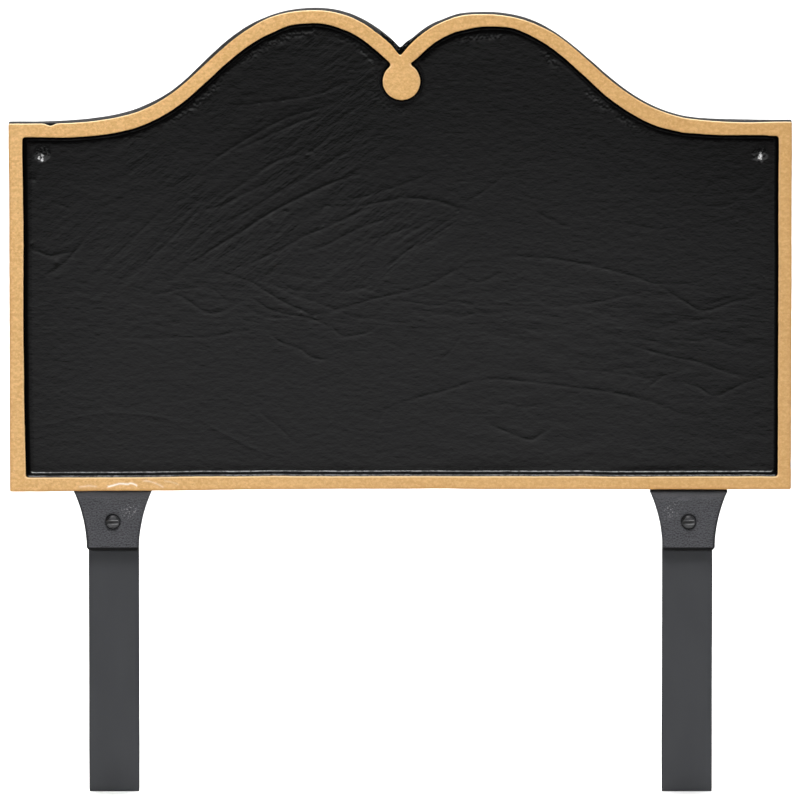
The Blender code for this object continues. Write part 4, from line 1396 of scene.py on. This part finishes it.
def gilding(paint):
    """Gold paint: mottled, with painted shade of an embossed texture, a painted highlight and shade along the
    edges, pale on the rubbed burrs under a painted highlight, deeper towards the right.
    """
    across, _, height = paint.axes()
    edge = paint.attribute("edge")
    mottle = paint.between(0.35, 0.65, paint.noise(24 * MM, 3.0))
    cloud = paint.between(0.32, 0.68, paint.noise(1.3 * MM, 3.0, shift=(0.2, 0.4, 0.6)))
    # Painted shade of a fine relief lit from above
    grain = paint.between(0.08, -0.08, paint.emboss(2.6 * MM, 0.5 * MM))
    rightwards = paint.between(-HALF_WIDTH * 1.2, HALF_WIDTH * 1.2, across)
    downwards = paint.between(0.38, 0.20, height)
    specks = paint.between(0.66, 0.74, paint.noise(0.9 * MM, 1.0, shift=(0.31, 0.12, 0.05)))
    return paint.layered(
        rgb(0.675, 0.400, 0.154),
        (mottle, 1.0, rgb(0.712, 0.431, 0.174)),
        (cloud, 1.0, rgb(0.845, 0.530, 0.240)),
        (grain, 0.36, rgb(0.54, 0.30, 0.11)),
        (rightwards, 0.37, rgb(0.47, 0.26, 0.09)),
        (downwards, 0.19, rgb(0.40, 0.24, 0.11)),
        (specks, 0.35, rgb(0.42, 0.24, 0.10)),
        # Painted highlight and painted shade along the border's rounded edges
        (paint.between(0.0, 1.0, edge), 1.0, rgb(1.0, 0.80, 0.50)),
        (paint.between(0.0, -1.0, edge), 1.0, rgb(0.45, 0.23, 0.075)),
        # Rubbed burrs under a painted highlight
        (paint.attribute("wear"), 0.9, rgb(1.0, 0.97, 0.90)),
    )


def black_enamel(paint):
    """Black paint: palest low in the middle as a painted reflection, shaded by the relief in painted shade, with
    painted light and shade on the stepped wall and painted glints on bare metal in the dimples.
    """
    across, depth, height = paint.axes()
    foot = FOOT_Z + FOOT_SHADE_HEIGHT
    # Painted light and shade of the field: a painted reflection palest low in the middle, darker towards the
    # right and the far left, darker in a painted shade at the foot, and lit and shaded by the relief's tilt, by
    # embossed noise and by the folds
    level = paint.between(0.385, 0.245, height, 0.165, 0.375)
    level = paint.plus(level, paint.between(0.080, 0.200, across, 0.0, -0.110))
    level = paint.plus(level, paint.between(-0.140, -0.205, across, 0.0, -0.060))
    level = paint.plus(level, paint.between(foot, foot - 5.5 * MM, height, 0.0, -0.17))
    level = paint.plus(level, paint.attribute("tilt"), 2.2)
    level = paint.plus(level, paint.emboss(2.0 * MM, 0.35 * MM, (0.55, 1, 1)), 1.4)
    level = paint.plus(level, paint.emboss(0.8 * MM, 0.20 * MM, (0.7, 1, 1)), 0.45)
    level = paint.plus(level, folds(paint))
    # Pale painted highlights and black painted shade on the stepped wall, broken up by noise
    tone = paint.attribute("tone")
    broken = paint.between(0.36, 0.60, paint.noise(0.9 * MM, 2.0, (0.45, 1, 1)))
    broken = paint.times(broken, paint.between(0.2, 0.5, paint.noise(14 * MM, 2.0)))
    pale = paint.times(paint.between(0.0, 1.0, tone), paint.level(broken, 0.30, 1.0))
    clods = paint.between(0.50, 0.64, paint.noise(1.3 * MM, 2.0, shift=(0.1, 0.2, 0.9)))
    clods = paint.times(clods, paint.between(FRONT_Y + 3.4 * MM, FRONT_Y + 5.0 * MM, depth))
    # Painted glints on bare metal in the dimples, ragged at their edges
    torn = paint.between(0.42, 0.54, paint.noise(0.6 * MM, 2.0), 0.35, 1.0)
    return paint.layered(
        grey(0.0040),
        (level, 1.0, grey(0.0400)),
        (pale, 1.0, grey(0.55)),
        (paint.between(0.0, -1.0, tone), 1.0, grey(0.0012)),
        (clods, 0.5, grey(0.10)),
        (torn, paint.attribute("wear"), grey(0.80)),
    )


def folds(paint):
    """Painted shading of the field's fine folds: slanting high on the left, level elsewhere."""
    across, _, height = paint.axes()
    slants = paint.emboss(1.9 * MM, 0.35 * MM, (0.13, 1, 1), 34.0)
    slants = paint.times(
        paint.plus(slants, paint.emboss(2.6 * MM, 0.40 * MM, (0.16, 1, 1), 46.0)),
        paint.between(0.050, -0.020, across),
        paint.between(-0.185, -0.140, across, 0.4, 1.0),
        paint.between(0.245, 0.285, height),
        paint.between(0.40, 0.60, paint.noise(38 * MM, 2.0, shift=(0.4, 0.1, 0.2))),
    )
    middle = paint.times(paint.between(0.225, 0.25, height), paint.between(0.29, 0.26, height))
    waves = paint.times(paint.emboss(2.1 * MM, 0.35 * MM, (0.2, 1, 1), -5.0), paint.level(middle, 0.25, 1.0))
    return paint.plus(paint.times(waves, 1.1), slants, 1.5)


def bracket_paint():
    """Grey paint over a cast skin, with painted shade on its edges, its foot and about its screw, painted light
    at its top under the plaque, painted shade of an embossed texture, and rubbed bright in small streaks.
    """
    paint = Recipe("bracket_paint", 0.05)
    _, depth, height = paint.axes()
    cloud = paint.between(0.3, 0.7, paint.noise(9 * MM, 3.0))
    # Painted shade of a fine relief lit from above
    grain = paint.between(-0.08, 0.08, paint.emboss(0.85 * MM, 0.22 * MM, (0.75, 1, 1)))
    speckle = paint.between(0.42, 0.60, paint.noise(0.85 * MM, 2.0, shift=(0.5, 0.3, 0.8)))
    streaks = paint.between(0.60, 0.70, paint.noise(1.2 * MM, 2.0, (0.10, 1, 1)))
    # Painted light at the pad's top, just under the plaque
    under_plaque = paint.between(0.1530, 0.1585, height)
    under_plaque = paint.times(under_plaque, paint.between(-3.0 * MM, -6.0 * MM, depth))
    chips = paint.between(0.60, 0.66, paint.noise(0.8 * MM, 1.0, shift=(0.7, 0.1, 0.3)))
    colour = paint.layered(
        rgb(0.0300, 0.0300, 0.0333),
        (cloud, 1.0, rgb(0.0395, 0.0395, 0.0435)),
        (grain, 0.78, rgb(0.088, 0.089, 0.096)),
        (speckle, 0.55, rgb(0.095, 0.096, 0.103)),
        (streaks, paint.between(0.1500, 0.1575, height, 0.07, 0.22), rgb(0.20, 0.20, 0.21)),
        (under_plaque, 0.7, rgb(0.115, 0.115, 0.122)),
        (paint.times(chips, paint.attribute("scratched")), 0.75, grey(0.30)),
        (paint.attribute("lee"), 1.0, grey(0.005)),
    )
    skin = paint.bump(paint.noise(1.3 * MM, 3.0), 0.30 * MM)
    skin = paint.bump(paint.noise(0.5 * MM, 1.0), 0.05 * MM, skin)
    return paint.done(colour, paint.level(cloud, 0.42, 0.50), skin)


def stake_paint():
    """Smooth grey paint over rolled bar, with painted shade along the bar's edges and a painted shadow on its
    front just under the pad.
    """
    paint = Recipe("stake_paint", 0.05)
    from_middle, depth, height = paint.axes()
    cloud = paint.between(0.3, 0.7, paint.noise(14 * MM, 3.0, (1, 1, 0.35)))
    middle = (ASIDE["stake_right"] + ASIDE["stake_left"]) / 2
    stand = STAND_X + (ASIDE["stake_right"] - ASIDE["stake_left"]) / 2
    for place in (middle, stand):
        from_middle = paint.math("ABSOLUTE", paint.math("SUBTRACT", from_middle, place))
    half_width = STAKE_HALF_WIDTH + STAKE_FILLING
    # Painted shade along the bar's rounded edges
    edge = paint.between(half_width - 0.75 * MM, half_width - 0.35 * MM, from_middle)
    # Painted shadow of the pad on the bar's front
    pad_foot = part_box("bracket_right")[0].z
    under_pad = paint.between(pad_foot - 2.0 * MM, pad_foot + 0.2 * MM, height)
    under_pad = paint.times(under_pad, paint.between(1.5 * MM, -1.5 * MM, depth))
    colour = paint.layered(
        rgb(0.0475, 0.0490, 0.0525),
        (cloud, 1.0, rgb(0.0520, 0.0535, 0.0570)),
        (edge, 0.55, rgb(0.010, 0.010, 0.011)),
        (under_pad, 0.7, grey(0.006)),
    )
    skin = paint.bump(paint.noise(0.8 * MM, 2.0, (1, 1, 0.05)), 0.008 * MM)
    skin = paint.bump(paint.noise(0.6 * MM, 2.0), 0.008 * MM, skin)
    return paint.done(colour, paint.level(cloud, 0.40, 0.46), skin)


def screw_paint():
    """Grey paint over steel, thicker in places, with painted shade round the head and a painted highlight along
    the slot.
    """
    paint = Recipe("screw_paint", 0.35)
    cloud = paint.between(0.3, 0.7, paint.noise(2.0 * MM, 2.0))
    worn = paint.between(0.28, 0.46, paint.noise(1.1 * MM))
    colour = paint.layered(
        rgb(0.022, 0.022, 0.024),
        (cloud, 1.0, rgb(0.050, 0.050, 0.053)),
        # Painted shade round the head, and a painted highlight in patches along the slot
        (paint.attribute("rim"), 1.0, grey(0.006)),
        (worn, paint.attribute("slot_edge"), grey(0.40)),
    )
    skin = paint.bump(paint.noise(0.5 * MM, 2.0), 0.02 * MM)
    return paint.done(colour, paint.level(cloud, 0.32, 0.42), skin)


def floor_paint():
    """Pale matt studio floor, with painted light making it paler near the sign."""
    paint = Recipe("floor_paint", 0.1)
    cloud = paint.between(0.3, 0.7, paint.noise(0.6, 2.0))
    far = paint.node("ShaderNodeVectorMath", paint.place, operation="LENGTH").outputs["Value"]
    colour = paint.layered(
        grey(FLOOR_ALBEDO),
        (cloud, 1.0, grey(FLOOR_ALBEDO + 0.02)),
        # Painted light, paler near the sign
        (paint.between(1.2, 0.3, far), 1.0, grey(0.97)),
    )
    return paint.done(colour, 0.9, paint.bump(paint.noise(0.02, 1.0), 0.02 * MM))


# --- brackets, stakes and screws ---
def modify(piece, kind, **settings):
    """Works one modifier into a piece's mesh."""
    modifier = piece.modifiers.new(kind.lower(), kind)
    for name, value in settings.items():
        setattr(modifier, name, value)
    mesh = bpy.data.meshes.new_from_object(piece.evaluated_get(bpy.context.evaluated_depsgraph_get()))
    piece.modifiers.clear()
    piece.data = mesh


def vertex_values(mesh, name):
    flat = np.empty(len(mesh.vertices) * 3)
    mesh.vertices.foreach_get(name, flat)
    return flat.reshape(-1, 3)


def move_points(piece, points):
    piece.data.vertices.foreach_set("co", points.ravel())
    piece.data.update()


def make_bracket(side, material):
    """One cast bracket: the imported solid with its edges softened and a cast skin."""
    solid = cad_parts[f"bracket_{side}"]
    piece = new_object(f"bracket_{side}_casting", solid.data.copy())
    modify(piece, "REMESH", mode="VOXEL", voxel_size=BRACKET_VOXEL, use_smooth_shade=True)
    modify(piece, "SMOOTH", factor=0.5, iterations=BRACKET_SOFTENING)
    points, normals = vertex_values(piece.data, "co"), vertex_values(piece.data, "normal")
    skin = 0.6 * lumps(points, 5 * MM, 91) + 0.4 * lumps(points, 1.6 * MM, 92) - 0.5
    points = points + normals * (BRACKET_SKIN * skin)[:, None]
    lee, scratched = shaped_pad(points, normals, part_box(f"bracket_{side}")[0].z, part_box(f"pad_screw_{side}"))
    points[:, 0] += ASIDE.get(f"bracket_{side}", 0)
    move_points(piece, np.clip(points, cad_low, cad_high))
    set_attributes(piece, lee=lee, scratched=scratched)
    dress(piece, material, "bracket_grey", f"bracket_{side}")


def shaped_pad(points, normals, foot_z, screw_box):
    """Fills out a pad's sides, rounds its foot and sinks a ring about its screw, moving the points in place.

    It gives, for each point, how much painted shade it gets and how scratched the paint is there.
    """
    on_pad = step_between(PAD_MIDDLE_Y + PAD_BLEND, PAD_MIDDLE_Y, points[:, 1])
    points[:, 0] += PAD_FILLING * on_pad * normals[:, 0]
    points[:, 2] -= PAD_FOOT_DROP * on_pad * step_between(foot_z + 4 * MM, foot_z + 1 * MM, points[:, 2])
    rise = np.clip(1 - (points[:, 2] - foot_z + PAD_FOOT_DROP) / PAD_FOOT_ROUNDING, 0, 1)
    points[:, 1] += PAD_FOOT_ROUNDING * on_pad * (1 - np.sqrt(1 - 0.96 * rise**2))
    centre = (screw_box[0] + screw_box[1]) / 2
    outwards = math.copysign(1, centre.x)
    gap = np.hypot(points[:, 0] - centre.x, points[:, 2] - centre.z)
    on_face = step_between(PAD_MIDDLE_Y, PAD_MIDDLE_Y - PAD_BLEND, points[:, 1])
    ring = np.exp(-(((gap - SCREW_RING_RADIUS) / SCREW_RING_WIDTH) ** 2))
    points[:, 1] += SCREW_RING_DEPTH * on_face * ring
    offset = (points[:, 0] - centre.x) * outwards
    to_side = inside_pad_side(points, offset, on_pad, foot_z - 1 * MM)
    # Painted shade along the pad's sides, on its rounded foot and in the ring about its screw
    at_side = step_between(PAD_LEE_WIDTH, 0.5 * PAD_LEE_WIDTH, to_side) * np.where(offset > 0, 0.75, 0.35)
    lee = np.maximum(on_pad * np.maximum(step_between(0.0, 0.08, rise), at_side), on_face * ring)
    taper = step_between(0, 0.7, rise) * np.clip(offset / PAD_FOOT_REACH, 0, 1)
    points[:, 0] -= outwards * PAD_FOOT_TAPER * on_pad * taper
    inwards = centre.x - outwards * SCRATCH_OFFSET
    gap = np.hypot(points[:, 0] - inwards, points[:, 2] - centre.z - SCRATCH_RISE) / SCRATCH_REACH
    return lee, on_face * np.exp(-(gap**2))


def inside_pad_side(points, offset, on_pad, lowest_z):
    """How far each point lies inside the pad's side at its height."""
    levels = np.arange(lowest_z, PLAQUE_LOW.z + 1 * MM, PAD_SIDE_STEP)
    reach = []
    for level in levels:
        there = on_pad * (np.abs(points[:, 2] - level) < PAD_SIDE_STEP) > 0.5
        reach.append(np.max(offset, initial=0, where=there))
    return np.interp(points[:, 2], levels, reach) - np.abs(offset)


def bar_section(half_x, half_y, rounding):
    """A flat bar's rounded section, as (x, y), anticlockwise seen from above."""
    corners = []
    for number, signs in enumerate(((1, 1), (-1, 1), (-1, -1), (1, -1))):
        middle = np.array(signs) * (half_x - rounding, half_y - rounding)
        angles = np.radians(90 * number + np.linspace(0, 90, BAR_CORNER_POINTS))
        corners.append(on_circle(middle, rounding, angles))
    shares = np.linspace(0, 1, BAR_FACE_POINTS + 2)[1:-1, None]
    section = []
    for corner, following in zip(corners, corners[1:] + corners[:1]):
        section += [corner, corner[-1] + shares * (following[0] - corner[-1])]
    return np.vstack(section)


def make_stake(side, material):
    """One flat bar, its long edges rounded as rolled bar's are and its faces not quite straight."""
    low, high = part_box(f"stake_{side}")
    centre, half = (low + high) / 2, (high - low) / 2
    levels = [low.z, low.z + 0.15 * MM, *np.linspace(low.z + 2 * MM, high.z - 2 * MM, STAKE_LEVELS)]
    middle = (centre.x + ASIDE[f"stake_{side}"], centre.y)
    rings = []
    for z in [*levels, high.z - 0.4 * MM, high.z]:
        inset = STAKE_WAVE + STAKE_END_INSET * max(0.0, 1 - min(z - low.z, high.z - z) / (0.3 * MM))
        section = bar_section(half.x + STAKE_FILLING - inset, half.y - inset, STAKE_ROUNDING)
        ring = np.column_stack([section + middle, np.full(len(section), z)])
        away = section / np.linalg.norm(section, axis=1)[:, None]
        ring[:, :2] += away * (STAKE_WAVE * lumps(ring / (1, 1, 2.5), 11 * MM, 95))[:, None]
        rings.append(ring)
    points = np.vstack(rings)
    numbers = np.arange(len(points)).reshape(len(rings), -1)
    ahead = np.roll(numbers, -1, axis=1)
    faces = np.stack([numbers[:-1], ahead[:-1], ahead[1:], numbers[1:]], axis=-1).reshape(-1, 4).tolist()
    faces += [numbers[0, ::-1].tolist(), numbers[-1].tolist()]
    points[:, 1:] = np.clip(points[:, 1:], low[1:], high[1:])
    piece = mesh_piece(f"stake_{side}_bar", points, faces)
    dress(piece, material, "stake_grey", f"stake_{side}")


def screw_profile(length):
    """A round-head screw's outline as (radius, height above the head's seat), from the crown to the tip."""
    rise = SCREW_HEAD_HEIGHT - SCREW_HEAD_EDGE
    angles = np.radians(np.linspace(0, 90, SCREW_DOME_STEPS))[1:]
    dome = [(SCREW_HEAD_RADIUS * math.sin(a), SCREW_HEAD_EDGE + rise * math.cos(a)) for a in angles]
    return dome + [
        (SCREW_HEAD_RADIUS, 0.06 * MM),
        (SCREW_HEAD_RADIUS - 0.08 * MM, 0.0),
        (SCREW_SHANK_RADIUS, 0.0),
        (SCREW_SHANK_RADIUS, -length + 0.5 * MM),
        (SCREW_SHANK_RADIUS - 0.4 * MM, -length),
    ]


def turned_body(name, profile):
    """A round body about the z axis, from its crown down to its tip."""
    angles = 2 * math.pi * np.arange(SCREW_SIDES) / SCREW_SIDES
    rings = []
    for radius, z in profile:
        rings.append(np.column_stack([on_circle(0, radius, angles), np.full(SCREW_SIDES, z)]))
    points = np.vstack([*rings, (0, 0, SCREW_HEAD_HEIGHT)])
    crown = len(points) - 1
    numbers = np.arange(crown).reshape(len(rings), -1).tolist()
    faces = []
    for i in range(SCREW_SIDES):
        ahead = (i + 1) % SCREW_SIDES
        faces.append((crown, numbers[0][i], numbers[0][ahead]))
        for upper, lower in zip(numbers, numbers[1:]):
            faces.append((upper[i], lower[i], lower[ahead], upper[ahead]))
    return mesh_piece(name, points, [*faces, numbers[-1][::-1]])


def make_screw(node, front, material):
    """One slotted round-head screw. Its head faces the front, or the back."""
    low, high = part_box(node)
    piece = turned_body(f"{node}_turned", screw_profile((high.y - low.y) - SCREW_SEAT_DEPTH))
    cut_slot(piece)
    angle_limit = math.radians(SCREW_EDGE_ANGLE)
    modify(piece, "BEVEL", width=SCREW_EDGE_WIDTH, segments=2, limit_method="ANGLE", angle_limit=angle_limit)
    centre = (low + high) / 2
    away, seat = (-1, low.y + SCREW_SEAT_DEPTH) if front else (1, high.y - SCREW_SEAT_DEPTH)
    x, y, z = vertex_values(piece.data, "co").T
    points = np.column_stack([-away * x, away * z, y]) + (centre.x, seat, centre.z)
    points = np.clip(points, low, high)
    shift = ASIDE["bracket_right"] if "_right" in node else 0
    move_points(piece, points + (shift, 0, 0))
    piece.data.shade_smooth()
    # Painted shade on the head's rim, to the left and below, and a painted highlight along the slot's edges,
    # brighter to the right
    beside, _, above = ((points - centre) / SCREW_HEAD_RADIUS).T
    radius = np.hypot(beside, above)
    rim = step_between(0.72, 0.92, radius) * step_between(0.9, 0.2, beside + above)
    from_edge = (np.abs(above) * SCREW_HEAD_RADIUS - SCREW_SLOT_WIDTH / 2) / SCREW_WEAR_WIDTH
    worn = np.exp(-(from_edge**2)) * step_between(0.95, 0.75, radius) * step_between(-1.2, 1.0, beside)
    set_attributes(piece, rim=rim, slot_edge=worn)
    dress(piece, material, "screw_grey", node)


def cut_slot(piece):
    """Cuts the driver's slot across a screw's head."""
    depth = SCREW_SLOT_DEPTH + 1 * MM
    middle = (0, 0, SCREW_HEAD_HEIGHT - SCREW_SLOT_DEPTH + depth / 2)
    work = bmesh.new()
    bmesh.ops.create_cube(work, size=1.0)
    bmesh.ops.scale(work, vec=(3 * SCREW_HEAD_RADIUS, SCREW_SLOT_WIDTH, depth), verts=work.verts)
    bmesh.ops.translate(work, vec=middle, verts=work.verts)
    cutter = bmesh_object("slot_cutter", work)
    modify(piece, "BOOLEAN", operation="DIFFERENCE", solver="EXACT", object=cutter)
    bpy.data.objects.remove(cutter)


# --- stage, light and camera ---
def make_floor():
    """A wide round floor at the ground line."""
    work = bmesh.new()
    bmesh.ops.create_circle(work, cap_ends=True, segments=96, radius=FLOOR_RADIUS)
    floor = bmesh_object("studio_floor", work)
    floor.location.z = FLOOR_Z
    floor.data.materials.append(floor_paint())


def area_light(name, place, aim, size, spread, watts):
    light = bpy.data.lights.new(name, "AREA")
    light.shape = "DISK"
    light.size = size
    light.spread = math.radians(spread)
    light.energy = watts
    obj = new_object(name, light)
    obj.location = place
    obj.rotation_euler = (Vector(aim) - Vector(place)).to_track_quat("-Z", "Y").to_euler()


def light_scene():
    world = bpy.data.worlds.new("studio")
    world.use_nodes = True
    tree = world.node_tree
    direction = add_node(tree, "ShaderNodeTexCoord").outputs["Generated"]
    across = add_node(tree, "ShaderNodeSeparateXYZ", direction).outputs["X"]
    aside = add_node(tree, "ShaderNodeMath", across, operation="ABSOLUTE").outputs[0]
    ends = (aside, *SIDE_FADE, WORLD_STRENGTH, SIDE_STRENGTH)
    fade = add_node(tree, "ShaderNodeMapRange", *ends, interpolation_type="SMOOTHSTEP").outputs[0]
    back = tree.nodes["Background"]
    put(tree, back.inputs["Color"], grey(1.0))
    put(tree, back.inputs["Strength"], fade)
    bpy.context.scene.world = world
    below = (OVERHEAD_PLACE[0], OVERHEAD_PLACE[1], 0.0)
    area_light("overhead", OVERHEAD_PLACE, below, OVERHEAD_SIZE, OVERHEAD_SPREAD, OVERHEAD_WATTS)
    area_light("key", KEY_PLACE, KEY_AIM, KEY_SIZE, KEY_SPREAD, KEY_WATTS)


def place_camera():
    camera = bpy.data.cameras.new("photo_view")
    camera.sensor_width = CAMERA_SENSOR_MM
    camera.lens = CAMERA_DISTANCE * CAMERA_SENSOR_MM / PICTURE_WIDTH
    camera.clip_end = 100.0
    camera.dof.use_dof = False
    obj = new_object("photo_view", camera)
    tilt = math.radians(CAMERA_ELEVATION)
    away = Vector((0, -math.cos(tilt), math.sin(tilt)))
    obj.location = Vector((0, 0, CAMERA_AIM_Z)) + CAMERA_DISTANCE * away
    obj.rotation_euler = (math.radians(90) - tilt, 0, 0)
    bpy.context.scene.camera = obj


# The second paint is a copy without reflection, for the faces with the strongest painted light and shade
make_plaque(plaque_paint("plaque_paint", 0.05), plaque_paint("recess_paint", 0.0))
cast_grey, bar_grey, screw_grey = bracket_paint(), stake_paint(), screw_paint()
for side in ("left", "right"):
    make_bracket(side, cast_grey)
    make_stake(side, bar_grey)
    make_screw(f"pad_screw_{side}", True, screw_grey)
    for number in (1, 2):
        make_screw(f"tongue_screw_{side}_{number}", False, screw_grey)
make_floor()
light_scene()
place_camera()
bpy.context.scene.view_settings.view_transform = "Standard"
